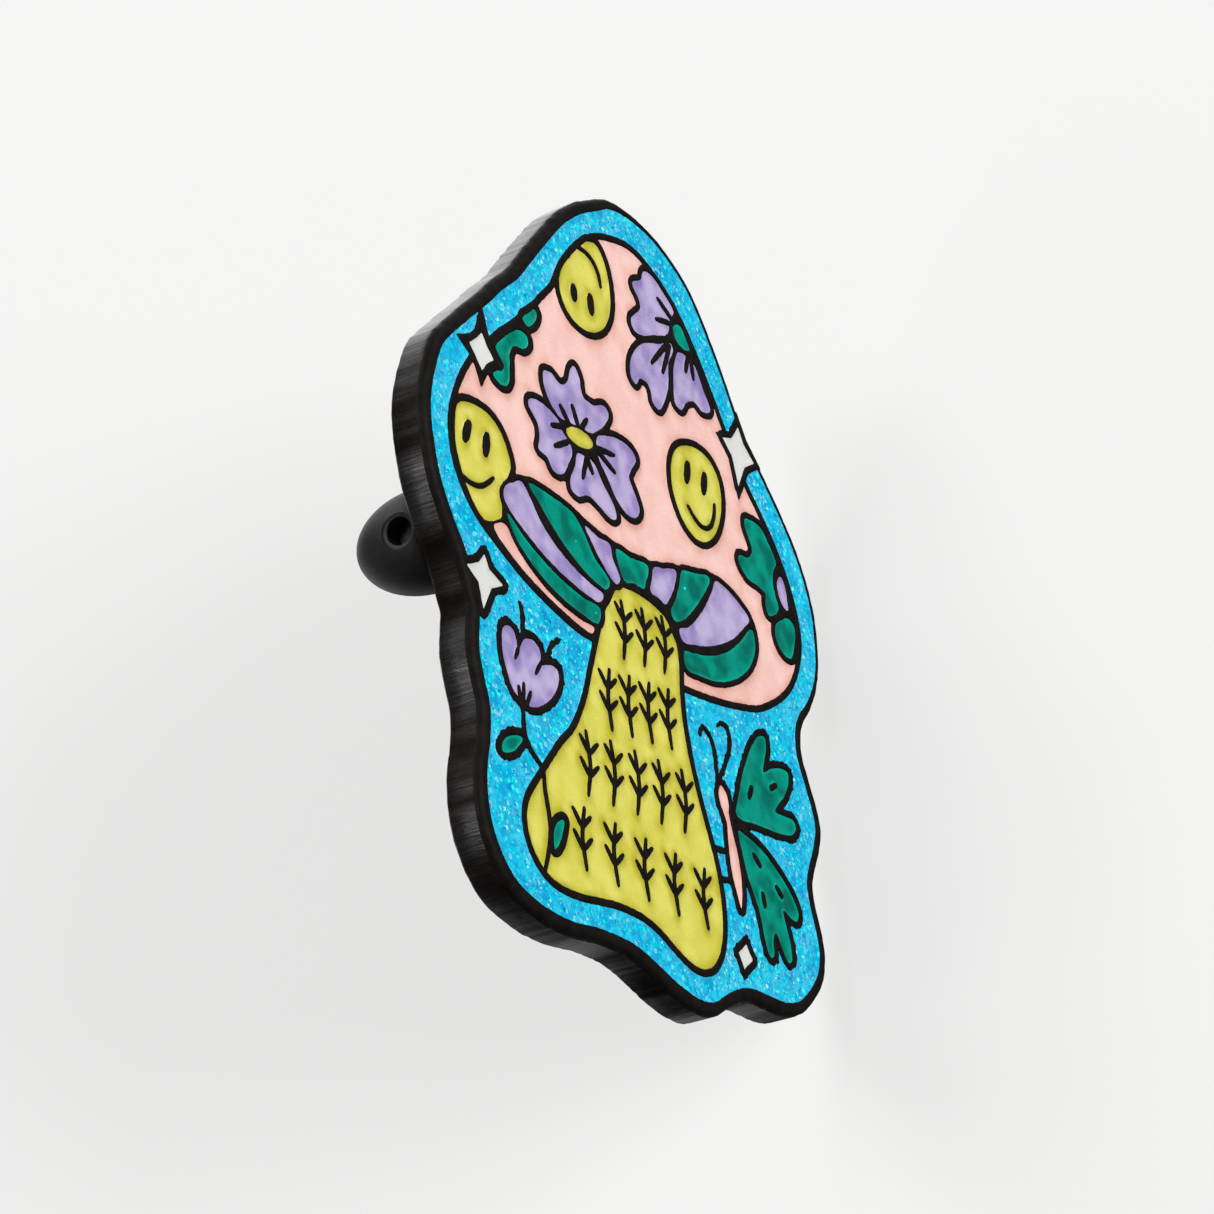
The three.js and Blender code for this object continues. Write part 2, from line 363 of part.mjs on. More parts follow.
// ---------- cells ----------
const colourOf = (name) => COLOUR_RULES.find(([rule]) => rule.test(name))[1];
const smooth = (points) => sample(points, true);
const sprigStrokes = SPRIG_ROWS.flatMap(({ first, last, count, height, lean }) => (
  Array.from({ length: count }, (_, i) => {
    const x = lerp(first[0], last[0], i / (count - 1));
    const z = lerp(first[1], last[1], i / (count - 1));
    const at = (t) => [x + lean * Math.sin(t * Math.PI), z + height * t];
    const leaves = LEAF_FEET.map((t) => [[at(t)[0] - LEAF_SPREAD, at(t)[1] + LEAF_SPREAD],
      at(t), [at(t)[0] + LEAF_SPREAD, at(t)[1] + LEAF_SPREAD]]);
    return [[at(0), at(0.5), at(1)], ...leaves];
  }).flat()
));

const cells = {};
const addCell = (name, polygon, strokes = [], width = STROKE) => {
  cells[name] = { polygon, strokes: strokes.map((s) => strokeOutline(s, width)) };
};
for (const [name, { face, eyes, smile }] of Object.entries(SMILEYS)) {
  addCell(name, smooth(face), [smile]);
  cells[name].strokes.push(...eyes.map((e) => strokeOutline(e, 0.54)));
}
for (const [name, points] of Object.entries(CENTRE_FLOWER)) {
  addCell(name, smooth(points), CENTRE_STAMENS, 0.3);
}
const centreDisc = Array.from({ length: 18 }, (_, i) => {
  const a = (i / 18) * Math.PI * 2;
  const u = 1.42 * Math.cos(a);
  const v = 0.56 * Math.sin(a);
  return [-3.2 + u * 0.985 - v * 0.17, 9.75 + u * 0.17 + v * 0.985];
});
addCell('centre_flower_disc', centreDisc);
for (const [name, points] of Object.entries(RIGHT_FLOWER)) {
  addCell(name, smooth(points), EDGE_STAMENS, 0.3);
}
addCell('edge_flower_disc', smooth([[7.85, 22.1], [8.2, 22.5], [8.8, 22.7], [9.45, 22], [9.75, 21.5],
  [9.1, 21.2], [8.4, 21.25], [7.95, 21.6]]));
addCell('green_flower_disc', smooth([[18.7, 9.75], [19.1, 10], [19.45, 9.65], [19.7, 8.7], [19.7, 7.95],
  [19.1, 7.95], [18.6, 8.5], [18.45, 9.2]]));
Object.entries(GILLS).forEach(([name, points]) => addCell(name, smooth(points)));
Object.entries(GREENERY).forEach(([name, points]) => addCell(name, smooth(points)));
addCell('tulip', smooth(TULIP), TULIP_LINES, 0.3);
addCell('wing_upper', smooth(BUTTERFLY.wing_upper), WING_MARKS, 0.42);
addCell('wing_lower', smooth(BUTTERFLY.wing_lower), WING_MARKS, 0.42);
addCell('butterfly_body', smooth(BUTTERFLY.butterfly_body));
addCell('cap_lip_left', smooth(LIP_LEFT));
Object.entries(SPARKLES).forEach(([name, { white }]) => addCell(name, white));

// Solid blocks over every drawn motif; the large fields are cut around them. A positive gap
// widens each block, which leaves clearance between an enamel fill and the walls of its cell.
function fieldBodies(gap, back, front) {
  const block = (polygon) => prism(gap > 0 ? offset(polygon, gap) : polygon, FLOOR - 0.5, ABOVE);
  const around = (polygon) => prism(offset(polygon, LINE + gap), FLOOR - 0.5, ABOVE);
  const lines = (strokes, width) => strokes.map((s) => block(strokeOutline(s, width)));
  const base = (points) => prism(
    gap > 0 ? offset(smooth(points), -gap) : smooth(points), back, front,
  );
  const sparkles = Object.values(SPARKLES).map(({ metal }) => block(metal));
  const motifs = Object.values(cells).map(({ polygon }) => around(polygon));
  const cap = around(smooth(CAP));
  const stem = around(smooth(STEM));
  const blue = subtractAll(base(FIELD), [cap, stem, ...sparkles, ...motifs,
    ...lines(TULIP_OUTER_LINES, 0.36), ...lines(ANTENNAE, 0.4), ...lines(BODY_BARS, 0.42)]);
  const pink = subtractAll(base(CAP), [stem, ...sparkles, ...motifs]);
  const yellow = subtractAll(base(STEM), [...motifs, ...lines([VINE], 0.36),
    ...lines(sprigStrokes, STROKE)]);
  const sorted = (solid, least) => solid.decompose()
    .filter((body) => body.volume() > least * (front - back))
    .sort((a, b) => b.volume() - a.volume());
  return { blue: sorted(blue, 0.3), pink: sorted(pink, 1), yellow: sorted(yellow, 0.6) };
}

const FIELD_NAMES = {
  blue: ['glitter_field', 'glitter_arch', 'glitter_between_bars', 'glitter_corner'],
  pink: ['cap_pink'],
  yellow: ['stem_yellow', 'stem_yellow_edge'],
};

// ---------- plate ----------
const pockets = fieldBodies(0, FLOOR, ABOVE);
const fills = fieldBodies(FIT_GAP, FLOOR + FIT_GAP, FRONT - ENAMEL_RECESS);
const rim = roundedSlab(offset(smooth(FIELD), RIM))
  .add(roundedSlab(offset(SPARKLES.sparkle_right_edge.metal, 0.35)));
const smallPockets = Object.values(cells).map(({ polygon, strokes }) => subtractAll(
  prism(polygon, FLOOR, ABOVE), strokes.map((s) => prism(s, FLOOR - 0.5, ABOVE)),
));
const plate = subtractAll(rim, [...Object.values(pockets).flat(), ...smallPockets]);

const parts = [['plate', plate, 'plate']];
for (const [group, names] of Object.entries(FIELD_NAMES)) {
  names.forEach((name, i) => parts.push([name, fills[group][i], group]));
}
for (const [name, { polygon, strokes }] of Object.entries(cells)) {
  const fill = prism(offset(polygon, -FIT_GAP), FLOOR + FIT_GAP, FRONT - ENAMEL_RECESS);
  const cut = strokes.map((s) => prism(offset(s, FIT_GAP), FLOOR - 0.5, ABOVE));
  parts.push([name, subtractAll(fill, cut), colourOf(name)]);
}

// ---------- posts and clutches ----------
function lathe(profile, segments) {
  return new THREE.LatheGeometry(profile.map(([r, y]) => new THREE.Vector2(r, y)), segments);
}

function postSolid() {
  const groove = POST_LENGTH - 1.15;
  return toSolid(lathe([[0, 0.01], [POST_FOOT_RADIUS, 0.01], [POST_FOOT_RADIUS, 0.2],
    [POST_RADIUS, 0.27], [POST_RADIUS, groove], [POST_RADIUS * 0.78, groove + 0.15],
    [POST_RADIUS * 0.78, groove + 0.35], [POST_RADIUS * 0.96, groove + 0.5],
    [POST_RADIUS * 0.3, POST_LENGTH - 0.1], [0, POST_LENGTH]], 16));
}

function clutchSolid() {
  const widest = CLUTCH_PLATE_GAP + 1.03;
  const dome = CLUTCH_HEIGHT - widest;
  const profile = [[0, CLUTCH_BORE_DEPTH], [CLUTCH_BORE_RADIUS * 0.7, CLUTCH_BORE_DEPTH],
    [CLUTCH_BORE_RADIUS, CLUTCH_BORE_DEPTH - 0.2], [CLUTCH_BORE_RADIUS, CLUTCH_PLATE_GAP + 0.3],
    [CLUTCH_BORE_RADIUS + 0.25, CLUTCH_PLATE_GAP], [CLUTCH_RADIUS * 0.86, CLUTCH_PLATE_GAP],
    [CLUTCH_RADIUS * 0.93, CLUTCH_PLATE_GAP + 0.12], [CLUTCH_RADIUS * 0.985, CLUTCH_PLATE_GAP + 0.5]];
  for (let i = 0; i <= DOME_RINGS; i += 1) {
    const a = (i / DOME_RINGS) * (Math.PI / 2);
    profile.push([i < DOME_RINGS ? CLUTCH_RADIUS * Math.cos(a) : 0, widest + dome * Math.sin(a)]);
  }
  const drill = (radius, floor) => {
    const length = CLUTCH_RADIUS * 2 - floor;
    const geometry = new THREE.CylinderGeometry(radius, radius, length, 12);
    geometry.translate(0, floor + length / 2, 0);
    geometry.rotateZ(THREE.MathUtils.degToRad(-90));
    geometry.rotateY(THREE.MathUtils.degToRad(-DIMPLE_ANGLE));
    geometry.translate(0, DIMPLE_HEIGHT, 0);
    return toSolid(geometry);
  };
  return toSolid(lathe(profile, 24))
    .subtract(drill(DIMPLE_RADIUS, DIMPLE_FLOOR))
    .subtract(drill(DIMPLE_RIM_RADIUS, CLUTCH_RADIUS - DIMPLE_RIM_DEPTH));
}

for (const [side, x] of [['left', -POST_SPACING / 2], ['right', POST_SPACING / 2]]) {
  parts.push([`post_${side}`, postSolid().translate(x, 0, 0), 'post']);
  parts.push([`clutch_${side}`, clutchSolid().translate(x, 0, 0), 'clutch']);
}

// ---------- named meshes ----------
function toMesh(name, solid, kind) {
  const { vertProperties, triVerts } = solid.getMesh();
  const geometry = new THREE.BufferGeometry();
  geometry.setAttribute('position', new THREE.BufferAttribute(new Float32Array(vertProperties), 3));
  geometry.setIndex(new THREE.BufferAttribute(new Uint32Array(triVerts), 1));
  geometry.computeVertexNormals();
  const { color, metalness = 0, roughness = 0.25 } = LOOKS[kind];
  const mesh = new THREE.Mesh(geometry, new THREE.MeshStandardMaterial({ color, metalness, roughness }));
  mesh.name = name;
  return mesh;
}

const part = new THREE.Group();
part.name = 'mushroom_pin';
parts.forEach(([name, solid, kind]) => part.add(toMesh(name, solid, kind)));

export default part;
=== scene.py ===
import math

import bpy
import numpy as np
from mathutils import Matrix, Vector
from mathutils.geometry import delaunay_2d_cdt


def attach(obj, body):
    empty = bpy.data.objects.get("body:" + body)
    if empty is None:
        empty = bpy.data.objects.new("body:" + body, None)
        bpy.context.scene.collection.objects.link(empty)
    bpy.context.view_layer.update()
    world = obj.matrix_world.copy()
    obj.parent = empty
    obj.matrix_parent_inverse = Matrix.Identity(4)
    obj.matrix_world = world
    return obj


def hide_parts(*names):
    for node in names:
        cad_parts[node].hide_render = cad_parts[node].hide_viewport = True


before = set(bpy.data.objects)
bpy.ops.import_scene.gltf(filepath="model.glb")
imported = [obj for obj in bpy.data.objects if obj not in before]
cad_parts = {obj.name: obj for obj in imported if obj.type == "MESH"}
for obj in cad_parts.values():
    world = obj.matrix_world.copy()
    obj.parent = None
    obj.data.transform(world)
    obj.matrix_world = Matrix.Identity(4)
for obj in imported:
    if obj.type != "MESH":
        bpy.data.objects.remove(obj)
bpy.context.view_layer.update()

# ---------- sizes, in millimetres unless said otherwise ----------
THICK = 2.1                 # back face to the top of the raised lines
FLOOR = THICK - 0.62        # bottom of the cells
LINE = 0.45                 # width of a raised line between two cells
GILL_WIDER = 0.085          # the gills reach this far into the lines round them
PETAL_WIDER = 0.04          # and the petals this far
RIM = 0.78                  # from the glitter to the side wall
RIM_SLIM = 0.3              # how much narrower it is along the upper right
RIM_ROUND = 0.42            # rounding of the rim's front edge
LINE_ROUND = 0.1            # rounding of the lines' top edges
STROKE = 0.34               # width of the fine raised strokes
EYE_STROKE = 0.66
STAMEN_STROKE = 0.4
STAMEN_INWARD = 0.5         # how far a stamen runs on, into the line round the flower's disc
TULIP_STROKE = 0.3
VINE_STROKE = 0.36          # also the tulip's stalks
ANTENNA_STROKE = 0.4
WING_STROKE = 0.42          # also the bars beside the butterfly's body
STAR_RIM = 0.35             # metal outside the sparkle that crosses the rim
BACK_ROUND = 0.12           # rounding of the plate's back edge
ENAMEL_EDGE = 0.095         # enamel below the line tops, where it meets a line
ENAMEL_SAG = 0.1            # how much lower it lies in the middle of a wide cell
SAG_REACH = 0.3             # distance over which it sags
ORIGIN = (1.5, 0.2)         # where the row's origin falls on the artwork
CHIPS = 300                 # ragged spots on the lines standing in the glitter
CHIP_SIZE = (0.08, 0.17)
CHIP_DEPTH = (0.07, 0.22)
FLAKES_PER_MM2 = 4.6        # glitter flakes lying at the surface
STRAY_PER_MM2 = 0.12        # stray flakes on the gills
FLAKE_SIZE = (0.045, 0.16)  # smallest and largest radius
FLAKE_KEEL = 0.05           # depth of a flake's point below the enamel
FLAKE_LEAN = 0.35           # largest tilt, radians
FLAKE_RISE = 0.012          # how far a flake's middle stands out of the enamel
FLAKE_MIX = (0.45, 0.24, 0.26, 0.02, 0.03)      # shares of the kinds in FLAKES
STEP = 0.06                 # spacing of the distance grid
BAND = 1.3                  # distances are measured this far from an outline
X_LOW, X_HIGH, Z_LOW, Z_HIGH = -20.2, 25.0, -23.0, 29.8

FIELD = [[1.3, 27], [2.8, 27.28], [4.4, 27.28], [6.3, 27], [8, 26.4], [9.6, 25.5], [10.9, 24.2],
  [12.2, 22.5], [13.3, 20.9], [14, 19.75], [14.9, 18.3], [16.2, 17], [17.3, 15.95], [18.3, 15],
  [19.6, 13.7], [20.9, 12.1], [21.85, 10.4], [22.4, 8.7], [22.5, 7], [22.4, 5.5], [21.95, 4],
  [21.1, 2.5], [20, 1.15], [19.45, -0.15], [19.45, -1.7], [20.1, -3.2], [20.8, -4.7], [21.05, -5.8],
  [20.65, -7.1], [19.9, -8.6], [19.5, -9.75], [19.65, -11], [20.2, -12.6], [20.4, -13.9],
  [20, -15.2], [18.9, -16.5], [17.5, -17.55], [16, -18.05], [13.9, -18.2], [12.2, -18.3],
  [10.9, -18.65], [9.4, -19.4], [8, -20.25], [6.5, -20.55], [4.4, -20.35], [2.2, -19.8], [0.2, -19.35],
  [-1.5, -19.3], [-3.7, -19.45], [-5.9, -19.8], [-7.8, -19.85], [-9.6, -19.65], [-11.3, -19.1],
  [-12.5, -18], [-13.25, -16.7], [-13.55, -15.2], [-13.5, -13.7], [-13.15, -12], [-13.1, -10.2],
  [-13.5, -8.9], [-13.9, -7.4], [-13.85, -6.2], [-13.75, -4.7], [-14.2, -3.6], [-14.9, -2],
  [-16, -0.45], [-16.95, 1.3], [-17.45, 3.05], [-17.7, 5], [-17.55, 6.4], [-17.05, 8.05],
  [-16.4, 9.55], [-15.55, 10.55], [-14.55, 11.6], [-12.95, 13.2], [-11.85, 14.3], [-10.45, 15.8],
  [-8.95, 17.2], [-7.15, 19.45], [-5.4, 21.6], [-3.65, 23.6], [-1.75, 25.2], [0, 26.3]]
CAP = [[1.3, 24.8], [2.8, 25.2], [4.1, 25.2], [5.4, 24.85], [7, 24.1], [8.5, 23.1], [9.8, 21.8],
  [11.1, 20.2], [12.2, 18.7], [13.2, 17.3], [14.2, 15.9], [15.3, 14.6], [16.6, 13.4], [17.8, 12.2],
  [18.9, 10.9], [19.8, 9.4], [20.35, 8], [20.6, 6.6], [20.4, 5.3], [19.8, 3.9], [18.9, 2.65],
  [17.8, 1.67], [16.5, 0.8], [15, 0], [13, -0.6], [10.9, -1.1], [8.7, -1.5], [6.9, -1.75], [2, -2.4],
  [-2.7, -2.28], [-4.35, -2.28], [-6.1, -2], [-7.8, -1.63], [-9.6, -1.1], [-11.1, -0.48],
  [-12.4, 0.1], [-13.6, 0.75], [-14.7, 1.8], [-15.4, 3], [-15.7, 4.4], [-15.6, 5.8], [-15.1, 7.2],
  [-14.4, 8.6], [-13.4, 10], [-12.2, 11.2], [-10.9, 12.6], [-9.4, 13.95], [-8, 15.3], [-6.5, 17],
  [-5.2, 18.5], [-4.5, 19.8], [-3.5, 21.3], [-2.2, 22.7], [-0.9, 23.8], [0.2, 24.4]]
STEM = [[2.4, 2.4], [3.5, 2.43], [4.6, 2.15], [5.45, 1.55], [6.1, 0.65], [6.27, -0.6], [6.2, -2.1],
  [6.24, -3.65], [6.5, -5.2], [6.95, -6.9], [7.6, -8.65], [8.35, -10.4], [9, -12.1], [9.35, -13.9],
  [9.35, -15.6], [9, -16.9], [8.25, -18], [7.2, -18.6], [5.9, -18.7], [4.35, -18.3], [2.8, -17.7],
  [1.3, -17.35], [-0.2, -17.3], [-1.7, -17.4], [-3.5, -17.7], [-5.2, -18], [-7, -18.1], [-8.2, -17.9],
  [-9.2, -17.3], [-9.85, -16.4], [-10.05, -15.3], [-9.75, -14.3], [-9.1, -13.4], [-8.3, -12.4],
  [-7.4, -11.3], [-6.4, -10.1], [-5.2, -8.9], [-4.35, -7.6], [-3.7, -6.3], [-3.15, -4.8], [-2.6, -3.3],
  [-1.95, -1.6], [-1.4, -0.25], [-0.7, 0.95], [0.3, 1.8], [1.3, 2.2]]
VINE = [[-8.25, -12.2], [-8.25, -13.1], [-8, -14.2], [-7.85, -15.4], [-8.1, -16.6], [-8.55, -17.9]]
SMILEYS = {
  "smiley_top": {
    "face": [[-4.65, 19.1], [-4.45, 18.2], [-3.8, 17.5], [-2.6, 17.2], [-1.3, 17.45], [-0.15, 18.2],
      [0.6, 19.3], [0.9, 20.6], [0.78, 22], [0.35, 23.1], [-0.35, 23.75], [-1.2, 23.6], [-2.2, 22.75],
      [-3.4, 21.4], [-4.35, 20.1]],
    "eyes": [[[-3.07, 18.85], [-3.1, 19.6]], [[-1.3, 18.8], [-1.35, 19.8]]],
    "smile": [[-2.6, 22.55], [-1.7, 22.65], [-0.9, 22.4], [-0.35, 21.8], [-0.15, 21.05]],
  },
  "smiley_left": {
    "face": [[-13.3, 7.2], [-14.5, 6.95], [-15.25, 6.4], [-15.52, 5.2], [-15.5, 3.9], [-15.1, 2.75],
      [-14.55, 1.75], [-13.8, 0.9], [-13.05, 0.52], [-12.2, 0.8], [-11.35, 1.4], [-11.3, 2.1],
      [-11.5, 2.8], [-11.2, 3.45], [-10.65, 4.05], [-10.3, 4.9], [-10.65, 5.9], [-11.3, 6.7],
      [-12.2, 7.15]],
    "eyes": [[[-14.6, 4.65], [-14.2, 5.75]], [[-12.7, 4.6], [-12.5, 5.75]]],
    "smile": [[-15.4, 2.4], [-14.3, 2.2], [-13.3, 2.4], [-12.55, 2.9], [-12.05, 3.4]],
  },
  "smiley_right": {
    "face": [[6.6, 11.1], [6.74, 12.6], [7.5, 13.8], [8.7, 14.5], [10, 14.8], [11.3, 14.6], [12.15, 13.8],
      [12.4, 12.4], [12.05, 10.9], [11.2, 9.5], [10, 8.65], [8.9, 8.5], [7.75, 9], [6.95, 10]],
    "eyes": [[[8.4, 12.05], [8.65, 13.25]], [[10.3, 12.1], [10.55, 13.3]]],
    "smile": [[8.35, 10.35], [9.1, 9.8], [10, 9.6], [10.85, 10], [11.35, 10.9], [11.5, 11.75]],
  },
}
CENTRE_FLOWER = {
  "petal_top": [[-6.2, 10.75], [-6.7, 11.6], [-6.65, 12.4], [-5.9, 12.65], [-4.95, 12.35], [-4.25, 12.8],
    [-3.85, 13.8], [-3.4, 14.2], [-3, 13.8], [-2.65, 12.65], [-1.5, 12.55], [-0.45, 13], [0, 12.75],
    [-0.4, 11.9], [-1.45, 10.95], [-1.9, 10.65], [-3, 10.5], [-4.45, 10.3], [-5.2, 10.2]],
  "petal_right": [[-1.3, 10.6], [0.2, 11.3], [1.3, 11.5], [2.3, 11.4], [2.75, 11], [2.25, 10.2],
    [1.9, 9.45], [2.45, 8.6], [2.85, 7.75], [2.4, 7.1], [1.3, 6.95], [0.4, 7.4], [-0.4, 8.3],
    [-1.25, 9.2], [-1.5, 9.9]],
  "petal_bottom": [[-1.9, 8.75], [-0.9, 7.75], [0.1, 6.85], [0.3, 6.2], [-0.4, 5.9], [-1.5, 6.2],
    [-2.6, 6.4], [-3.7, 5.9], [-4.35, 6.05], [-4.4, 6.5], [-3.85, 7.6], [-3.5, 8.6], [-2.9, 8.75]],
  "petal_left": [[-4.95, 9.35], [-5.2, 9.8], [-5.9, 10.1], [-7, 10.25], [-8.1, 10], [-8.35, 9.55],
    [-7.5, 8.75], [-7.35, 7.8], [-7.5, 7.2], [-6.7, 7.05], [-6.1, 6.45], [-5.1, 6.7], [-4.5, 7.6],
    [-4.05, 8.5], [-4.35, 9]],
}
CENTRE_STAMENS = [[[-3.85, 11.5], [-3.5, 10.8]], [[-5.1, 10.95], [-4.5, 10.4]],
  [[-2.35, 11.3], [-2.8, 10.7]], [[-6.05, 9.3], [-5.2, 9.6]], [[-5.8, 8.1], [-4.75, 8.75]],
  [[0.35, 10.2], [-1.1, 9.95]], [[0.35, 9.1], [-1.1, 9.6]], [[-3.05, 7.3], [-2.65, 8.5]],
  [[-2.05, 8], [-2.35, 8.5]]]
RIGHT_FLOWER = {
  "edge_petal_top": [[5.05, 24.65], [5.9, 24.65], [7.15, 24.05], [8.1, 23.35], [7.65, 22.75],
    [7.4, 21.75], [7.1, 21.35], [5.4, 20.5], [4.1, 19.9], [3.3, 19.85], [3.05, 20.3], [3.55, 20.95],
    [4.2, 21.65], [4.05, 22.3], [3.45, 22.9], [3.65, 23.25], [4.45, 23.75], [4.7, 24.35]],
  "edge_petal_middle": [[7.35, 20.9], [6.3, 20.25], [4.5, 19.45], [3.5, 18.6], [2.75, 17.4],
    [2.7, 16.4], [3.15, 16.15], [3.75, 16.8], [4.4, 16.85], [4.85, 16.4], [5, 15.75], [5.7, 15.6],
    [6.4, 16.5], [6.95, 17.8], [7.1, 19.3], [7.75, 20.65]],
  "edge_petal_right": [[8.4, 20.65], [7.75, 19.4], [7.55, 18], [7.6, 16.85], [8.3, 16.75], [8.9, 17.5],
    [9.8, 18], [10.65, 17.75], [11.4, 17.95], [11.75, 18.3], [11.1, 19.3], [10.2, 20.6], [9.4, 20.8]],
}
EDGE_STAMENS = [[[6.3, 23.4], [7.35, 22.9]], [[6, 21.85], [7.2, 22.2]], [[5.2, 18.5], [6.9, 20.45]],
  [[6.4, 18.4], [7.2, 20.2]], [[9.1, 19.7], [9.35, 20.5]], [[9.95, 19.6], [9.85, 20.4]]]
GILLS = {
  "gill_1_purple": [[-9.3, 4.3], [-10, 3.95], [-10.9, 3.3], [-11.05, 2.65], [-10.6, 2.2], [-9.1, 1.45],
    [-7.4, 0.8], [-5.2, 0.3], [-3.3, 0.08], [-2, 0.12], [-1.55, 0.62], [-2.6, 0.76], [-4.35, 1.1],
    [-6.1, 1.72], [-7.6, 2.65], [-8.6, 3.75]],
  "gill_2_green": [[-10.75, 1.75], [-9.1, 0.9], [-7.6, 0.35], [-5.65, -0.15], [-3.5, -0.4], [-1.95, -0.4],
    [-2.2, -1.25], [-3.9, -1.3], [-5.65, -1.13], [-7.4, -0.7], [-9.1, 0.04], [-10.2, 0.85]],
  "gill_3_green": [[-8.55, 4.5], [-6.5, 4.65], [-4.15, 4.45], [-3.3, 3.8], [-2.25, 2.6], [-0.85, 1.75],
    [-1.2, 1.2], [-2, 1.2], [-3.5, 1.5], [-5.2, 2.2], [-6.7, 3.1], [-7.8, 3.95]],
  "gill_4_purple": [[-3.05, 4.2], [-1.7, 4.05], [-0.6, 4.1], [-0.4, 3.4], [0.3, 2.35], [-0.2, 1.95],
    [-1.1, 2.4], [-1.95, 3.05], [-2.6, 3.7]],
  "gill_5_green": [[0.1, 4.05], [1.7, 4.15], [3.4, 4.35], [3.05, 3.3], [2.85, 2.87], [1.7, 2.75],
    [0.8, 2.5], [0.35, 3.1]],
  "gill_6_purple": [[4.1, 4.5], [5.2, 4.9], [6.5, 5.3], [6.25, 4.4], [5.6, 3.3], [5.05, 2.75],
    [4.35, 2.88], [3.6, 2.92], [3.8, 3.6]],
  "gill_7_green": [[7.25, 5.55], [8.7, 6], [10.3, 6.4], [9.95, 5.7], [9.1, 4.6], [8.05, 3.45],
    [7, 2.5], [6, 2.1], [5.75, 2.35], [6.3, 3.3], [6.85, 4.5]],
  "gill_8_purple": [[11.1, 6.45], [12.4, 6.4], [13.7, 6], [14.7, 5.45], [14.05, 4.75], [12.8, 3.6],
    [11.3, 2.65], [9.6, 1.85], [8.05, 1.35], [6.8, 1.1], [6.55, 1.55], [7.6, 2.1], [8.7, 3.1],
    [9.8, 4.4], [10.6, 5.6]],
  "gill_9_green": [[15.05, 4.8], [15.25, 4.15], [15, 3.2], [14.2, 2.1], [13.05, 1.15], [11.7, 0.4],
    [10.2, -0.15], [8.5, -0.42], [7, -0.5], [6.95, 0.32], [8.05, 0.65], [9.35, 0.98], [10.9, 1.6],
    [12.4, 2.5], [13.7, 3.6], [14.55, 4.5]],
}
# The band holding all the gills, whose upper edge is one smooth line.
GILL_BAND = [[-10.9, 3.3], [-10, 3.95], [-9.3, 4.3], [-8.3, 4.55], [-6.5, 4.68], [-4.15, 4.48], [-3.05, 4.28],
  [-1.7, 4.12], [-0.25, 4.1], [1.7, 4.17], [3.6, 4.4], [5.2, 4.9], [6.8, 5.38], [8.7, 6.02], [10.5, 6.42],
  [12.4, 6.42], [13.7, 6.02], [14.75, 5.4], [15.15, 4.6], [14, 3.4], [11, 1.2], [7, 0.6], [5, 2.3],
  [0, 2.2], [-2, 0], [-6, 0.2], [-10.2, 1.7]]
GREENERY = {
  "cap_leaf_small": [[-8.6, 14.85], [-8.15, 14.6], [-7.45, 15.1], [-7.05, 15.85], [-7.25, 16.1],
    [-7.85, 15.6]],
  "cap_leaf_large": [[-11.4, 11.7], [-10.65, 12.6], [-9.6, 13.55], [-8.95, 13.95], [-8.25, 13.95],
    [-8.05, 13.5], [-8.65, 12.9], [-9.5, 12.7], [-9.95, 12.05], [-10.02, 11.2], [-10.08, 10.3],
    [-10.45, 9.75], [-11.2, 9.6], [-11.75, 9.85], [-11.3, 10.3], [-10.75, 10.55], [-10.65, 10.9],
    [-11, 11.25]],
  "green_petal_large": [[15.15, 12.3], [16.1, 12.5], [17, 12.45], [17.75, 11.8], [18.6, 10.75],
    [18.2, 10.1], [18, 9.15], [18.25, 8.3], [18.5, 7.65], [17.8, 6.95], [17.1, 6.75], [16.9, 7.2],
    [16.95, 8], [16.1, 8.25], [14.8, 8.3], [13.95, 9], [14.15, 9.45], [15.2, 9.7], [15.7, 10.3],
    [15.5, 10.9], [15.1, 11.5], [14.98, 12]],
  "green_petal_small": [[20.2, 7.2], [19.55, 7.35], [18.75, 6.9], [18, 6.3], [17.85, 5.5], [18.35, 4.85],
    [19.1, 4.65], [19.7, 4.85], [20.1, 5.7], [20.35, 6.6]],
  "tulip_leaf": [[-12.15, -12.35], [-11.95, -11.75], [-11.1, -11.15], [-10.1, -10.95], [-10.45, -11.5],
    [-11.25, -12.15]],
  "stem_leaf": [[-7.55, -16.3], [-7.55, -15.3], [-7.05, -14.6], [-6.5, -14.35], [-6.7, -15.2],
    [-7.1, -15.95]],
}
TULIP = [[-11.8, -6], [-11.7, -5.35], [-11.2, -4.9], [-10.6, -5], [-10.35, -5.6], [-10.25, -6],
  [-10.05, -5.7], [-9.65, -5.15], [-8.85, -4.85], [-8.2, -5.15], [-8.1, -5.7], [-8.25, -6.1],
  [-7.8, -5.95], [-7.15, -5.7], [-6.5, -5.75], [-6.4, -6.3], [-6.8, -7.15], [-7.6, -8], [-8.6, -8.65],
  [-9.6, -8.9], [-10.9, -8.5], [-11.45, -7.6], [-11.75, -6.8]]
TULIP_LINES = [[[-10.55, -6.55], [-10.2, -5.8]], [[-8.65, -6.75], [-8.1, -5.9]],
  [[-10.35, -8.1], [-10.2, -8.95]], [[-9.85, -7.75], [-9.95, -9]], [[-9.2, -8], [-9.65, -8.95]]]
TULIP_OUTER_LINES = [[[-9.95, -3.1], [-9.75, -3.8], [-9.8, -4.9]], [[-6.15, -3.85], [-6.9, -4.4],
  [-7.6, -5.4]], [[-9.95, -8.9], [-10, -10.2], [-9.7, -11.1], [-8.6, -11.9], [-8, -12.2]],
[[-10.2, -11], [-9.7, -10.9]]]
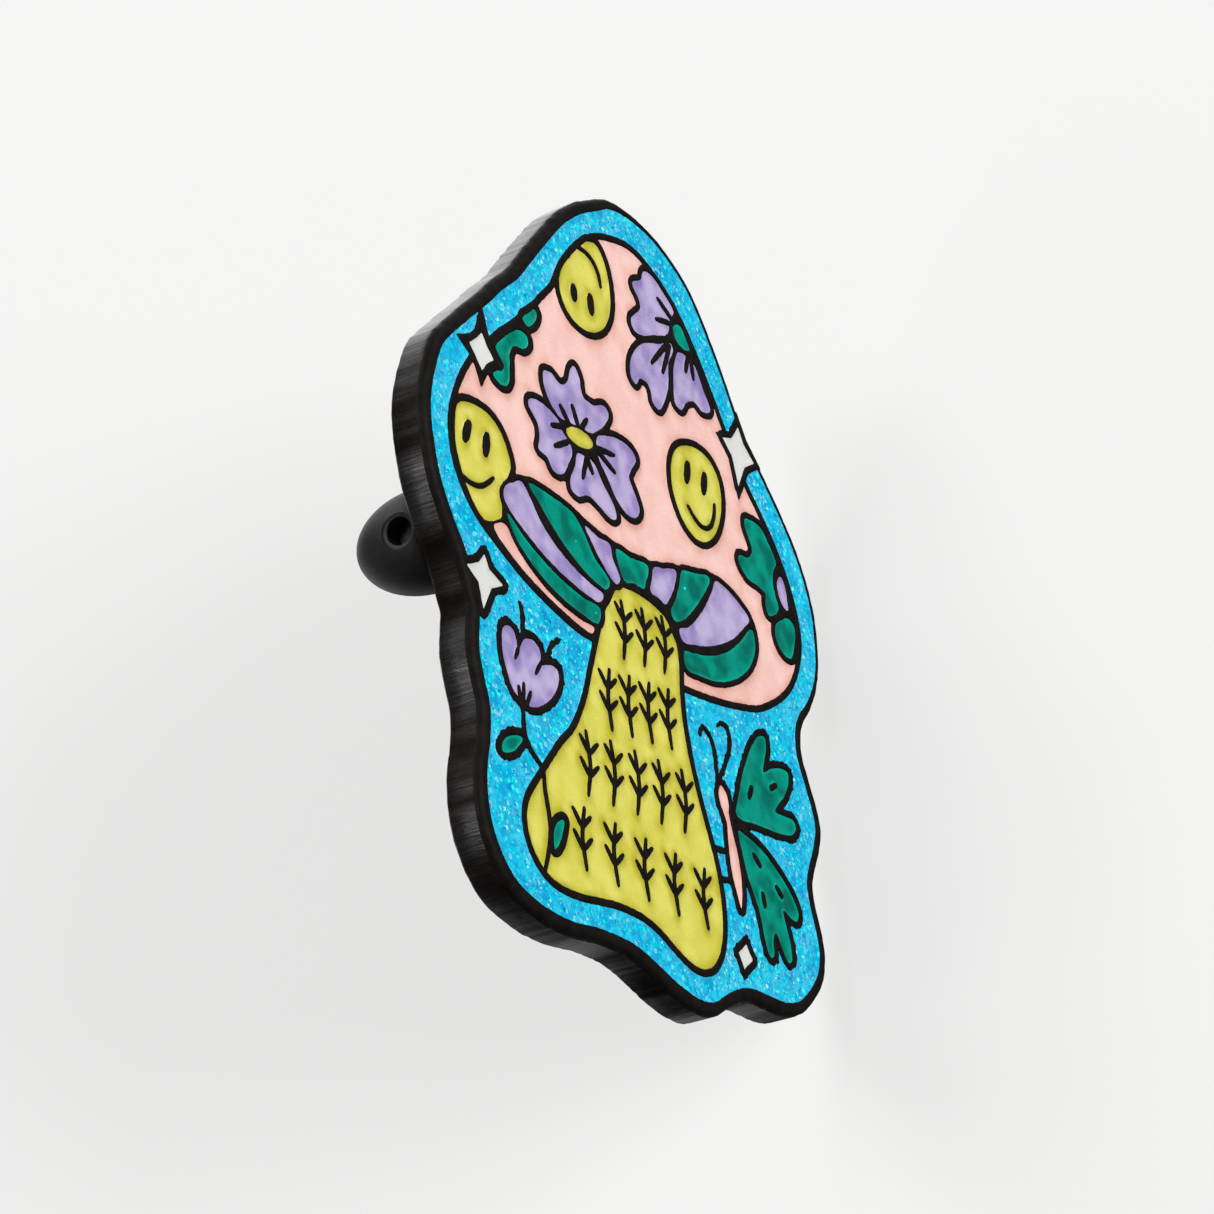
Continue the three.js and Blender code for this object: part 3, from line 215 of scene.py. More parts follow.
BUTTERFLY = {
  "wing_upper": [[11.6, -8], [11.9, -7.1], [12.4, -5.8], [13.05, -4.5], [13.9, -3.1], [14.9, -2.05],
    [15.6, -1.85], [15.75, -2.4], [15.45, -3.3], [15.2, -4.2], [16.1, -3.7], [17.3, -3.25],
    [18.15, -3.25], [18.15, -3.85], [17.55, -4.9], [16.7, -5.75], [16.3, -6.3], [17.4, -6.25],
    [18.4, -6.2], [18.65, -6.6], [18.15, -7.15], [17, -7.5], [15.2, -7.75], [13.5, -7.95], [12.3, -8.15]],
  "wing_lower": [[11.75, -9], [12.6, -9], [13.9, -9.2], [15.2, -9.65], [16.65, -10.45], [17.75, -11.3],
    [18.2, -12.1], [17.95, -12.6], [17.3, -12.65], [16.4, -12.4], [16.6, -13.2], [17, -14.3],
    [17, -15.3], [16.5, -15.5], [15.9, -14.9], [15.3, -14.1], [15, -14.7], [14.95, -15.6],
    [14.4, -15.75], [13.95, -14.95], [13.65, -13.65], [13.1, -12.55], [12.5, -11.6], [12.05, -10.4]],
  "butterfly_body": [[10.1, -6.75], [10.6, -6.95], [10.9, -7.6], [10.85, -8.3], [11.15, -9.3],
    [11.65, -10.8], [11.8, -12.1], [11.7, -13.3], [11.5, -13.8], [11.15, -13.1], [10.65, -11.7],
    [10.5, -10], [10.45, -8.9], [9.9, -8], [9.75, -7.3]],
}
WING_MARKS = [[[13.65, -5.7], [13.3, -6.4]], [[15.95, -4.95], [16.5, -4.6]],
  [[13.4, -9.95], [14, -10.4]], [[15.8, -11.2], [16.3, -11.55]], [[14.1, -12.1], [14.25, -12.75]]]
ANTENNAE = [[[9.75, -7], [9.7, -5.6], [9.55, -4.6], [9, -3.9], [8.4, -3.8], [8.05, -4.25]],
  [[10, -6.4], [10.65, -5.4], [11.25, -4.3], [11.45, -3.4], [11.15, -2.8], [10.65, -2.7], [10.2, -3]]]
BODY_BARS = [[[8.6, -10.95], [10.4, -10.75]], [[9, -12.75], [10.9, -12.3]]]
# Sparkles: the sharp metal star and the white cell inside it.
SPARKLES = {
  "sparkle_left_edge": {
    "metal": [[-13.15, -0.95], [-12.5, -2.15], [-10.9, -2.6], [-12.3, -3.6], [-13.2, -5.3], [-14.2, -4.6],
      [-15.2, -2.9], [-13.95, -2.05]],
    "white": [[-13.1, -1.5], [-12.7, -2.25], [-11.4, -2.7], [-12.55, -3.3], [-13.4, -4.95],
      [-13.8, -3.45], [-14.85, -2.85], [-13.7, -2.25]],
  },
  "sparkle_cap": {
    "metal": [[-12.65, 13.9], [-11.9, 11.7], [-10.85, 10.87], [-12, 10.1], [-12.87, 8.5], [-13.6, 9.95],
      [-15.2, 10.8], [-13.5, 11.55]],
    "white": [[-12.65, 12.05], [-12.18, 11.4], [-11.55, 10.85], [-12.25, 10.3], [-12.8, 9.6],
      [-13.35, 10.2], [-13.95, 10.8], [-13.3, 11.35]],
  },
  "sparkle_right_edge": {
    "metal": [[14.95, 19.4], [15.85, 17.95], [17.35, 16.7], [15.75, 15.7], [14.5, 13.2], [13.75, 15.85],
      [12.2, 17], [13.7, 17.55]],
    "white": [[15.05, 18.6], [15.6, 17.65], [16.75, 16.8], [15.55, 16], [14.55, 14.2], [14, 16.1],
      [12.95, 16.95], [14.15, 17.4]],
  },
  "sparkle_bottom": {
    "metal": [[11.9, -15.2], [12.35, -16], [12.95, -16.5], [12, -17.2], [11.35, -18.15], [10.9, -17.2],
      [10.2, -16.45], [11.15, -16]],
    "white": [[11.85, -15.75], [12.15, -16.2], [12.5, -16.55], [11.9, -17], [11.4, -17.45],
      [11.15, -17], [10.85, -16.6], [11.35, -16.2]],
  },
}
LIP_LEFT = [[-11.05, 1.1], [-12.2, 0.45], [-11.9, 0.1], [-11.1, -0.35], [-9.6, -1], [-7.8, -1.53],
  [-6.1, -1.9], [-4.35, -2.18], [-2.85, -2.2], [-2.6, -1.78], [-3.9, -1.78], [-5.65, -1.62],
  [-7.4, -1.2], [-9.1, -0.45], [-10.25, 0.35]]
# Rows of upright sprigs filling the stem: first and last foot, how many, height and lean.
SPRIG_ROWS = (((0.3, -2.5), (4.6, -1.8), 3, 3.5, 0.25), ((-1.3, -7.4), (4.9, -6.3), 4, 3.6, -0.25),
              ((-4, -12.1), (5.8, -11), 5, 3.7, 0.3), ((-4.5, -16.5), (7.7, -16.1), 5, 3.5, -0.3))
LEAF_SPREAD = 0.85          # a leaf's reach to the side, and as much up
LEAF_FEET = (0.3, 0.66)     # where the leaf pairs leave the sprig, as shares of its height
# The discs of the flowers; the middle one is an ellipse.
CENTRE_DISC_AT = (-3.2, 9.75)
CENTRE_DISC_RADII = (1.42, 0.56)
CENTRE_DISC_TURN = (0.985, 0.17)    # cosine and sine
EDGE_DISC = [[7.85, 22.1], [8.2, 22.5], [8.8, 22.7], [9.45, 22], [9.75, 21.5], [9.1, 21.2],
             [8.4, 21.25], [7.95, 21.6]]
GREEN_DISC = [[18.7, 9.75], [19.1, 10], [19.45, 9.65], [19.7, 8.7], [19.7, 7.95], [19.1, 7.95],
              [18.6, 8.5], [18.45, 9.2]]

# ---------- distance fields on a grid over the artwork ----------
NX = int((X_HIGH - X_LOW) / STEP) + 1
NZ = int((Z_HIGH - Z_LOW) / STEP) + 1
GX = X_LOW + np.arange(NX) * STEP
GZ = Z_LOW + np.arange(NZ) * STEP


def smooth(points, closed=True, spacing=0.16):
    """Points along a centripetal Catmull-Rom curve through the given ones."""
    p = np.asarray(points, float)
    count = len(p)
    out = []
    for i in range(count if closed else count - 1):
        p1, p2 = p[i], p[(i + 1) % count]
        p0 = p[i - 1] if closed or i else 2 * p1 - p2
        p3 = p[(i + 2) % count] if closed or i + 2 < count else 2 * p2 - p1
        s0, s1, s2 = (max(math.sqrt(math.dist(a, b)), 1e-4) for a, b in ((p0, p1), (p1, p2), (p2, p3)))
        t1 = s1 * ((p1 - p0) / s0 - (p2 - p0) / (s0 + s1) + (p2 - p1) / s1)
        t2 = s1 * ((p2 - p1) / s1 - (p3 - p1) / (s1 + s2) + (p3 - p2) / s2)
        parts = max(2, math.ceil(math.dist(p1, p2) / spacing))
        for t in np.arange(parts) / parts:
            out.append(p1 + t1 * t + (3 * (p2 - p1) - 2 * t1 - t2) * t * t
                       + (2 * (p1 - p2) + t1 + t2) * t ** 3)
    if not closed:
        out.append(p[-1])
    return np.array(out)


def window(low, high, start, count):
    first = max(int((low - BAND - start) / STEP), 0)
    return first, min(int((high + BAND - start) / STEP) + 2, count)


def line_distance(points, closed, widths=None):
    """Distance to a chain of points, less a half width that may change along it."""
    p = np.asarray(points, float)
    half = np.zeros(len(p)) if widths is None else np.asarray(widths, float) / 2
    field = np.full((NZ, NX), BAND)
    for k in range(len(p) if closed else len(p) - 1):
        (ax, az), (bx, bz) = p[k], p[(k + 1) % len(p)]
        i0, i1 = window(min(ax, bx), max(ax, bx), X_LOW, NX)
        j0, j1 = window(min(az, bz), max(az, bz), Z_LOW, NZ)
        gx, gz = GX[i0:i1] - ax, (GZ[j0:j1] - az)[:, None]
        dx, dz = bx - ax, bz - az
        t = np.clip((gx * dx + gz * dz) / max(dx * dx + dz * dz, 1e-12), 0, 1)
        d = np.sqrt((gx - t * dx) ** 2 + (gz - t * dz) ** 2)
        if widths is not None:
            d -= half[k] + (half[(k + 1) % len(p)] - half[k]) * t
        np.minimum(field[j0:j1, i0:i1], d, out=field[j0:j1, i0:i1])
    return field


def shape(points):
    """Signed distance to a closed outline, negative inside."""
    p = np.asarray(points, float)
    inside = np.zeros((NZ, NX), bool)
    for (ax, az), (bx, bz) in zip(p, np.roll(p, -1, axis=0)):
        low, high = sorted((az, bz))
        for j in range(math.ceil((low - Z_LOW) / STEP), math.ceil((high - Z_LOW) / STEP)):
            x = ax + (GZ[j] - az) * (bx - ax) / (bz - az)
            inside[j, math.ceil((x - X_LOW) / STEP):] ^= True
    field = line_distance(p, True)
    return np.where(inside, -field, field)


def stroke(points, width, thin=0.72):
    """Signed distance to a round-ended stroke that thins a little toward its ends."""
    p = smooth(points, False, 0.1) if len(points) > 2 else np.linspace(points[0], points[1], 5)
    run = np.linspace(-1, 1, len(p))
    return line_distance(p, False, width * (1 - (1 - thin) * run ** 4))


def blur(field, radius):
    """Gaussian blur of a grid, radius in grid steps."""
    reach = math.ceil(radius * 2.5)
    kernel = np.exp(-0.5 * (np.arange(-reach, reach + 1) / radius) ** 2)
    kernel /= kernel.sum()
    for axis in (0, 1):
        field = sum(w * np.roll(field, s, axis) for w, s in zip(kernel, range(-reach, reach + 1)))
    return field


def waves(seed, length, count=24):
    """Smooth unit noise on the grid with the given wavelength."""
    rng = np.random.default_rng(seed)
    total = np.zeros((NZ, NX))
    for _ in range(count):
        turn, phase = rng.uniform(0, math.tau, 2)
        k = math.tau / (length * rng.uniform(0.7, 1.5))
        total += np.cos(k * math.cos(turn) * GX + (k * math.sin(turn) * GZ)[:, None] + phase)
    return total / math.sqrt(count / 2)


def read(field, x, z):
    """The field at points, between grid values."""
    u = np.clip((np.asarray(x) - X_LOW) / STEP, 0, NX - 1.001)
    v = np.clip((np.asarray(z) - Z_LOW) / STEP, 0, NZ - 1.001)
    i, j = u.astype(int), v.astype(int)
    u, v = u - i, v - j
    return ((field[j, i] * (1 - u) + field[j, i + 1] * u) * (1 - v)
            + (field[j + 1, i] * (1 - u) + field[j + 1, i + 1] * u) * v)


# ---------- contours and flat meshes ----------
# For each pattern of inside corners (1, 2, 4, 8 anticlockwise from the lower left), the crossed
# sides a contour runs from and to with the inside on its left: 0 bottom, 1 right, 2 top, 3 left.
RUNS = {1: [(0, 3)], 2: [(1, 0)], 3: [(1, 3)], 4: [(2, 1)], 5: [(0, 3), (2, 1)], 6: [(2, 0)],
        7: [(2, 3)], 8: [(3, 2)], 9: [(0, 2)], 10: [(1, 0), (3, 2)], 11: [(1, 2)], 12: [(3, 1)],
        13: [(0, 1)], 14: [(3, 0)]}
SMALLEST_LOOP = 0.012       # square millimetres
SIMPLE_GAP = 0.0035         # how far a thinned contour may stray
LONGEST_RUN = 9             # grid steps between kept points


def area(loop):
    x, z = loop[:, 0], loop[:, 1]
    return 0.5 * float(np.sum(x * np.roll(z, -1) - np.roll(x, -1) * z))


def thin_out(loop):
    """Drops the points of a closed loop that lie on the line between their neighbours."""
    count = len(loop)
    closed = np.vstack([loop, loop[:1]])
    far = int(np.argmax(((loop - loop[0]) ** 2).sum(1)))
    keep = {0, far}
    spans = [(0, far), (far, count)]
    while spans:
        a, b = spans.pop()
        if b - a < 2:
            continue
        chord = closed[b] - closed[a]
        rest = closed[a + 1:b] - closed[a]
        gap = np.abs(chord[0] * rest[:, 1] - chord[1] * rest[:, 0]) / max(math.hypot(*chord), 1e-9)
        k = int(np.argmax(gap))
        if gap[k] < SIMPLE_GAP:
            if b - a <= LONGEST_RUN:
                continue
            k = (b - a) // 2 - 1
        middle = a + 1 + k
        keep.add(middle)
        spans += [(a, middle), (middle, b)]
    return loop[sorted(keep)]


def contours(field, level):
    """Closed loops where the field has this level, lower values on their left."""
    f = field - level
    f[np.abs(f) < 1e-6] = 1e-6
    low = f < 0
    pattern = (low[:-1, :-1] * 1 + low[:-1, 1:] * 2 + low[1:, 1:] * 4 + low[1:, :-1] * 8)
    follow = np.full(2 * NZ * NX, -1)
    for code, runs in RUNS.items():
        j, i = np.nonzero(pattern == code)
        sides = (j * NX + i, NZ * NX + j * NX + i + 1, (j + 1) * NX + i, NZ * NX + j * NX + i)
        for start, end in runs:
            follow[sides[start]] = sides[end]
    used = np.nonzero(follow >= 0)[0]
    upright = used >= NZ * NX
    j, i = np.divmod(used - upright * NZ * NX, NX)
    a, b = f[j, i], f[j + upright, i + ~upright]
    share = a / (a - b)
    place = np.zeros((2 * NZ * NX, 2))
    place[used, 0] = GX[i] + share * STEP * ~upright
    place[used, 1] = GZ[j] + share * STEP * upright
    loops, done = [], set()
    for first in used.tolist():
        if first in done:
            continue
        chain, at = [], first
        while at not in done:
            done.add(at)
            chain.append(at)
            at = int(follow[at])
        loop = place[chain]
        if len(loop) > 5 and abs(area(loop)) > SMALLEST_LOOP:
            loops.append(thin_out(loop))
    return loops


def fill(points, edges):
    """Triangles that cover what lies on the left of directed edges between the points."""
    used = sorted({v for e in edges for v in e})
    place = {v: k for k, v in enumerate(used)}
    out = delaunay_2d_cdt([Vector(points[v]) for v in used],
                          [(place[a], place[b]) for a, b in edges], [], 0, 1e-6, True)
    back = [used[o[0]] if o else None for o in out[3]]
    triangles = [tuple(back[v] for v in f) for f in out[2]]
    triangles = [t for t in triangles if None not in t]
    wall = set(edges)
    half = {}
    for t, (a, b, c) in enumerate(triangles):
        half[(a, b)] = half[(b, c)] = half[(c, a)] = t
    state = {}
    for a, b in edges:
        if (a, b) in half:
            state[half[(a, b)]] = True
        if (b, a) in half:
            state[half[(b, a)]] = False
    queue = list(state)
    while queue:
        t = queue.pop()
        a, b, c = triangles[t]
        for e in ((a, b), (b, c), (c, a)):
            other = half.get((e[1], e[0]))
            if other is not None and other not in state and e not in wall and (e[1], e[0]) not in wall:
                state[other] = state[t]
                queue.append(other)
    return [triangles[t] for t, kept in state.items() if kept]


# ---------- the artwork as distance fields ----------
# The first of these words in a cell's name gives its colour; the rest are green.
COLOUR_WORDS = {"green_petal": "green", "tulip_leaf": "green", "edge_flower_disc": "green",
                "green_flower_disc": "purple", "centre_flower_disc": "yellow", "petal": "purple",
                "purple": "purple", "tulip": "purple", "smiley": "yellow", "cap_lip": "pink",
                "butterfly": "pink", "sparkle": "white"}
cells = {}                  # name: signed distance to the cell's outline, and its raised strokes


def colour_of(name):
    return next((colour for word, colour in COLOUR_WORDS.items() if word in name), "green")


def add_cell(name, outline, strokes=()):
    cells[name] = (shape(outline), list(strokes))


def strokes_of(lines, width, thin=0.72):
    return [stroke(line, width, thin) for line in lines]


for name, face in SMILEYS.items():
    add_cell(name, smooth(face["face"]),
             strokes_of([face["smile"]], STROKE) + strokes_of(face["eyes"], EYE_STROKE))


def stamen(mark):
    """A flower's mark, its inner end carried on into the line round the middle."""
    outer, inner_end = np.array(mark)
    along = (inner_end - outer) / np.hypot(*(inner_end - outer))
    return stroke([outer, inner_end + STAMEN_INWARD * along], STAMEN_STROKE)


for flower, marks in ((CENTRE_FLOWER, CENTRE_STAMENS), (RIGHT_FLOWER, EDGE_STAMENS)):
    stamens = [stamen(mark) for mark in marks]
    for name, outline in flower.items():
        add_cell(name, smooth(outline), stamens)
turn = np.arange(40) / 40 * math.tau
disc = np.stack([np.cos(turn), np.sin(turn)], axis=1) * CENTRE_DISC_RADII
turned, tilt = CENTRE_DISC_TURN
add_cell("centre_flower_disc", disc @ ((turned, tilt), (-tilt, turned)) + CENTRE_DISC_AT)
add_cell("edge_flower_disc", smooth(EDGE_DISC))
add_cell("green_flower_disc", smooth(GREEN_DISC))
for name, outline in (*GILLS.items(), *GREENERY.items()):
    add_cell(name, smooth(outline))
add_cell("tulip", smooth(TULIP), strokes_of(TULIP_LINES, TULIP_STROKE))
marks = strokes_of(WING_MARKS, WING_STROKE, 0.9)
for name in ("wing_upper", "wing_lower"):
    add_cell(name, smooth(BUTTERFLY[name]), marks)
add_cell("butterfly_body", smooth(BUTTERFLY["butterfly_body"]))
add_cell("cap_lip_left", smooth(LIP_LEFT))
for name, star in SPARKLES.items():
    add_cell(name, star["white"])

least = np.minimum.reduce
stars = least([shape(star["metal"]) for star in SPARKLES.values()])
motifs = least([shape(smooth(GILL_BAND)), *(field for field, _ in cells.values())]) - LINE
cap, stem, field_edge = shape(smooth(CAP)), shape(smooth(STEM)), shape(smooth(FIELD))
sprigs = []
for first, last, count, height, lean in SPRIG_ROWS:
    for share in np.arange(count) / (count - 1):
        x, z = (a + (b - a) * share for a, b in zip(first, last))
        foot, *leaves, middle, tip = [(x + lean * math.sin(t * math.pi), z + height * t)
                                      for t in (0, *LEAF_FEET, 0.5, 1)]
        sprigs.append(stroke([foot, middle, tip], STROKE))
        for x, z in leaves:
            for reach in (-LEAF_SPREAD, LEAF_SPREAD):
                sprigs.append(stroke([(x + reach, z + LEAF_SPREAD), (x, z)], STROKE))
fine = (strokes_of(TULIP_OUTER_LINES, VINE_STROKE) + strokes_of(ANTENNAE, ANTENNA_STROKE)
        + strokes_of(BODY_BARS, WING_STROKE))

regions = {}
for name, (field, cuts) in cells.items():
    wider = GILL_WIDER if name.startswith("gill") else PETAL_WIDER if "petal_" in name else 0
    field = field - wider
    regions[name] = np.maximum(field, -least(cuts)) if cuts else field
# The rim is narrower along the upper right.
slim = RIM_SLIM * np.clip((0.8 * GX + 0.6 * GZ[:, None] - 16) / 5, 0, 1)
regions["blue"] = np.maximum(field_edge - slim, -least([cap - LINE, stem - LINE, stars, motifs, *fine]))
# The glitter's edge is ragged: here and there the metal bites into it or is bitten.
rng = np.random.default_rng(41)
ragged = regions["blue"]
border_points = np.vstack(contours(ragged.copy(), 0))
for smooth_edge in (slim - field_edge, cap - LINE, stem - LINE):
    border_points = border_points[read(smooth_edge, *border_points.T) > 0.15]
for x, z in border_points[rng.choice(len(border_points), CHIPS, replace=False)]:
    size = rng.uniform(*CHIP_SIZE)
    depth = rng.uniform(*CHIP_DEPTH) * rng.choice((-0.7, 1))
    i, j = (x - X_LOW) / STEP, (z - Z_LOW) / STEP
    reach = math.ceil(size / STEP)
    rows, columns = (slice(max(round(c) - reach, 0), round(c) + reach + 1) for c in (j, i))
    gap = np.hypot(GX[columns] - x, (GZ[rows] - z)[:, None]) / size
    ragged[rows, columns] += depth * np.maximum(1 - gap * gap, 0) ** 2
regions["pink"] = np.maximum(cap, -least([stem - LINE, stars, motifs]))
regions["yellow"] = np.maximum(stem, -least([motifs, stroke(VINE, VINE_STROKE), *sprigs]))
region_names = list(regions)
stack = np.array(list(regions.values()), np.float32)
owner = stack.argmin(axis=0)
# Lines and rim waver by about a hundredth of a millimetre, and the blur softens their corners.
cell = blur(stack.min(axis=0).astype(float) + 0.008 * waves(3, 0.55), 0.7)
plate_edge = np.minimum(field_edge - RIM, shape(SPARKLES["sparkle_right_edge"]["metal"]) - STAR_RIM)
inner = -blur(plate_edge + 0.012 * waves(5, 1.1) + 0.006 * waves(6, 0.45), 0.8)

# ---------- the plate's face as one flat mesh, cut along contours ----------
LINE_LEVELS = (0.0, 0.018, 0.05, 0.1, 0.15)
ENAMEL_LEVELS = (-0.045, -0.12, -0.24, -0.45, -0.8)
RIM_LEVELS = (0.0, 0.012, 0.05, 0.11, 0.2, 0.3, 0.42, 0.5)
points, edges, cell_loops, edge_loops = [], [], [], []


def lay(loop, keep=None):
    start = len(points)
    points.extend(Vector(p) for p in loop.tolist())
    ring = list(range(start, len(points)))
    edges.extend(zip(ring, ring[1:] + ring[:1]))
    if keep is not None:
        keep.append(ring if area(loop) > 0 else ring[::-1])


for level in LINE_LEVELS + ENAMEL_LEVELS:
    for loop in contours(cell, level):
        lay(loop, cell_loops if level == 0 else None)
for level in RIM_LEVELS:
    for loop in contours(-inner, -level):
        lay(loop, edge_loops if level == 0 else None)
out = delaunay_2d_cdt(points, edges, cell_loops + edge_loops, 0, 1e-6, True)
flat = np.array([tuple(v) for v in out[0]])
first_edge_loop = len(cell_loops)
groups = {}                 # triangles by the cell loops round them; an even number of loops is metal
for triangle, loops in zip(out[2], out[5]):
    loops = set(loops)
    if not any(k >= first_edge_loop for k in loops):
        continue
    key = tuple(sorted(k for k in loops if k < first_edge_loop))
    groups.setdefault(key if len(key) % 2 else (), []).append(tuple(triangle))

# ---------- meshes ----------
CELL_GAP = 0.012            # between an enamel pool and the bottom of its cell
ON_EDGE = 0.004             # border points this close to the plate's edge are on it
CREASE = 50                 # degrees from which an edge is shaded sharp


def round_drop(distance, radius):
    """How far a rounded edge lies below its top at a distance from its side."""
    rest = radius - np.clip(distance, 0, radius)
    return radius - np.sqrt(np.maximum(radius * radius - rest * rest, 0))


def enamel_level(depth):
    """Height of the enamel's surface this far in from the lines."""
    return THICK - ENAMEL_EDGE - ENAMEL_SAG * (1 - np.exp(-depth / SAG_REACH))


to_cell, to_edge = read(cell, *flat.T), read(inner, *flat.T)
metal_height = THICK - np.maximum(round_drop(to_cell, LINE_ROUND), round_drop(to_edge, RIM_ROUND))
depth_in = np.maximum(-to_cell, 0)
enamel_height = enamel_level(depth_in)


def row_point(x, z, height):
    """Artwork point and height above the back face, in the row's frame, in metres."""
    return ((x - ORIGIN[0]) / 1000, -height / 1000, (z - ORIGIN[1]) / 1000)


def make_object(name, vertices, faces, materials, crease=CREASE):
    """A smooth object with its sharper edges creased."""
    mesh = bpy.data.meshes.new(name)
    mesh.from_pydata(vertices, [], faces)
    mesh.polygons.foreach_set("use_smooth", [True] * len(faces))
    mesh.set_sharp_from_angle(angle=math.radians(crease))
    for material in materials:
        mesh.materials.append(material)
    made = bpy.data.objects.new(name, mesh)
    bpy.context.scene.collection.objects.link(made)
    return made


class Build:
    """Collects vertices and faces of one piece."""

    def __init__(self):
        self.vertices, self.faces, self.kinds, self.known, self.reach = [], [], [], {}, []

    def vertex(self, k, layer, height, place=None, reach=0.0):
        key = (k, layer)
        if key not in self.known:
            self.known[key] = len(self.vertices)
            self.vertices.append(row_point(*(flat[k] if place is None else place), height))
            self.reach.append(reach)
        return self.known[key]

    def face(self, corners, kind=0):
        self.faces.append(tuple(corners))
        self.kinds.append(kind)

    def piece(self, name, materials):
        made = make_object(name, self.vertices, self.faces, materials)
        made.data.polygons.foreach_set("material_index", self.kinds)
        if any(self.reach):
            made.data.attributes.new("reach", "FLOAT", "POINT").data.foreach_set("value", self.reach)
        made.data.validate()
        return made


def border(triangles):
    """Directed edges of the triangles' border, the triangles on their left."""
    half = set()
    for a, b, c in triangles:
        half.update(((a, b), (b, c), (c, a)))
    return sorted(e for e in half if (e[1], e[0]) not in half)


def triangle_areas(triangles):
    a, b, c = (flat[corners] for corners in np.array(triangles).T)
    return np.abs((b - a)[:, 0] * (c - a)[:, 1] - (b - a)[:, 1] * (c - a)[:, 0]) / 2


def group_area(triangles):
    return triangle_areas(triangles).sum()


def group_owner(triangles):
    t = flat[np.array(triangles)]
    deepest = int(np.argmax(depth_in[np.array(triangles)].sum(axis=1)))
    x, z = t[deepest].mean(axis=0)
    return region_names[owner[round((z - Z_LOW) / STEP), round((x - X_LOW) / STEP)]]


# Names of the large fields' pools, from the largest down; a smaller scrap than this is metal.
FIELD_NAMES = {"blue": ("glitter_field", "glitter_arch", "glitter_between_bars", "glitter_corner"),
               "pink": ("cap_pink",), "yellow": ("stem_yellow", "stem_yellow_edge")}
SMALLEST_POOL = 0.3         # square millimetres
metal = list(groups.pop(()))
pools = {}
for triangles in sorted(groups.values(), key=group_area, reverse=True):
    name = group_owner(triangles)
    if name in FIELD_NAMES:
        free = [n for n in FIELD_NAMES[name] if n not in pools]
        if not free or group_area(triangles) < SMALLEST_POOL:
            metal += triangles
            continue
        pools[free[0]] = (name, triangles)
    elif name in pools:
        metal += triangles
    else:
        pools[name] = (colour_of(name), triangles)


def build_plate(materials):
    plate = Build()
    for triangle in metal:
        plate.face([plate.vertex(k, "top", metal_height[k]) for k in triangle])
    rim = [e for e in border(metal) if max(to_edge[e[0]], to_edge[e[1]]) < ON_EDGE]
    walls = set(border(metal)) - set(rim)
    for a, b in sorted(walls):
        plate.face([plate.vertex(b, "top", metal_height[b]), plate.vertex(a, "top", metal_height[a]),
                    plate.vertex(a, "floor", FLOOR), plate.vertex(b, "floor", FLOOR)])
    for triangle in fill(flat, [(b, a) for a, b in sorted(walls)]):
        plate.face([plate.vertex(k, "floor", FLOOR) for k in triangle])
    ahead = dict(rim)
    behind = {b: a for a, b in rim}
    # Rings down the side: name, height above the back face, and how far in as a share of BACK_ROUND.
    layers = [("top", None, 0), ("side", THICK - RIM_ROUND - 0.6, 0), ("low", BACK_ROUND + 0.02, 0),
              ("turn", BACK_ROUND * 0.3, 0.7), ("back", 0.0, 1.0)]

    def rim_vertex(k, layer, height, inset):
        if layer == "top":
            return plate.vertex(k, "top", metal_height[k])
        step = flat[ahead[k]] - flat[behind[k]]
        step = step / np.hypot(*step)
        place = flat[k] + np.array((-step[1], step[0])) * inset * BACK_ROUND
        return plate.vertex(k, layer, height, place)

    for (upper, high, in_high), (lower, low, in_low) in zip(layers, layers[1:]):
        for a, b in rim:
            plate.face([rim_vertex(b, upper, high, in_high), rim_vertex(a, upper, high, in_high),
                        rim_vertex(a, lower, low, in_low), rim_vertex(b, lower, low, in_low)], 1)
    for a, b, c in fill(flat, rim):
        plate.face([plate.known[(k, "back")] for k in (a, c, b)], 2)
    made = plate.piece("struck_plate", materials)
    for face in made.data.polygons:
        face.use_smooth = face.material_index != 2      # the back is flat
    return made


def add_flakes(pool, triangles, density):
    """Sinks small tilted facets, each a closed solid, into the top of an enamel pool."""
    rng = np.random.default_rng(len(triangles))
    share = triangle_areas(triangles)
    count = int(share.sum() * density)
    picked = np.array(triangles)[rng.choice(len(share), count, p=share / share.sum())]
    a, b, c = (flat[corners] for corners in picked.T)
    u, v = rng.random((2, count))
    u, v = np.where(u + v > 1, 1 - u, u), np.where(u + v > 1, 1 - v, v)
    for x, z in a + (b - a) * u[:, None] + (c - a) * v[:, None]:
        size = FLAKE_SIZE[0] + (FLAKE_SIZE[1] - FLAKE_SIZE[0]) * rng.random() ** 2
        depth = -float(read(cell, x, z))
        sides = int(rng.integers(5, 8))
        lean = rng.uniform(0, FLAKE_LEAN)
        way, spin = rng.uniform(0, math.tau, 2)
        material = 1 + int(rng.choice(len(FLAKE_MIX), p=FLAKE_MIX))
        if depth < size + 0.02:
            continue
        level = enamel_level(depth)
        first = len(pool.vertices)
        for k in range(sides):
            turn = spin + math.tau * k / sides
            du, dv = size * math.cos(turn), size * math.sin(turn)
            rise = (du * math.cos(way) + dv * math.sin(way)) * math.tan(lean)
            pool.vertices.append(row_point(x + du, z + dv, level + FLAKE_RISE + rise))
        pool.vertices.append(row_point(x, z, level - FLAKE_KEEL))
        pool.reach += [1.0] * (sides + 1)
        pool.face(range(first, first + sides), material)
        for k in range(sides):
            pool.face((first + (k + 1) % sides, first + k, first + sides), material)


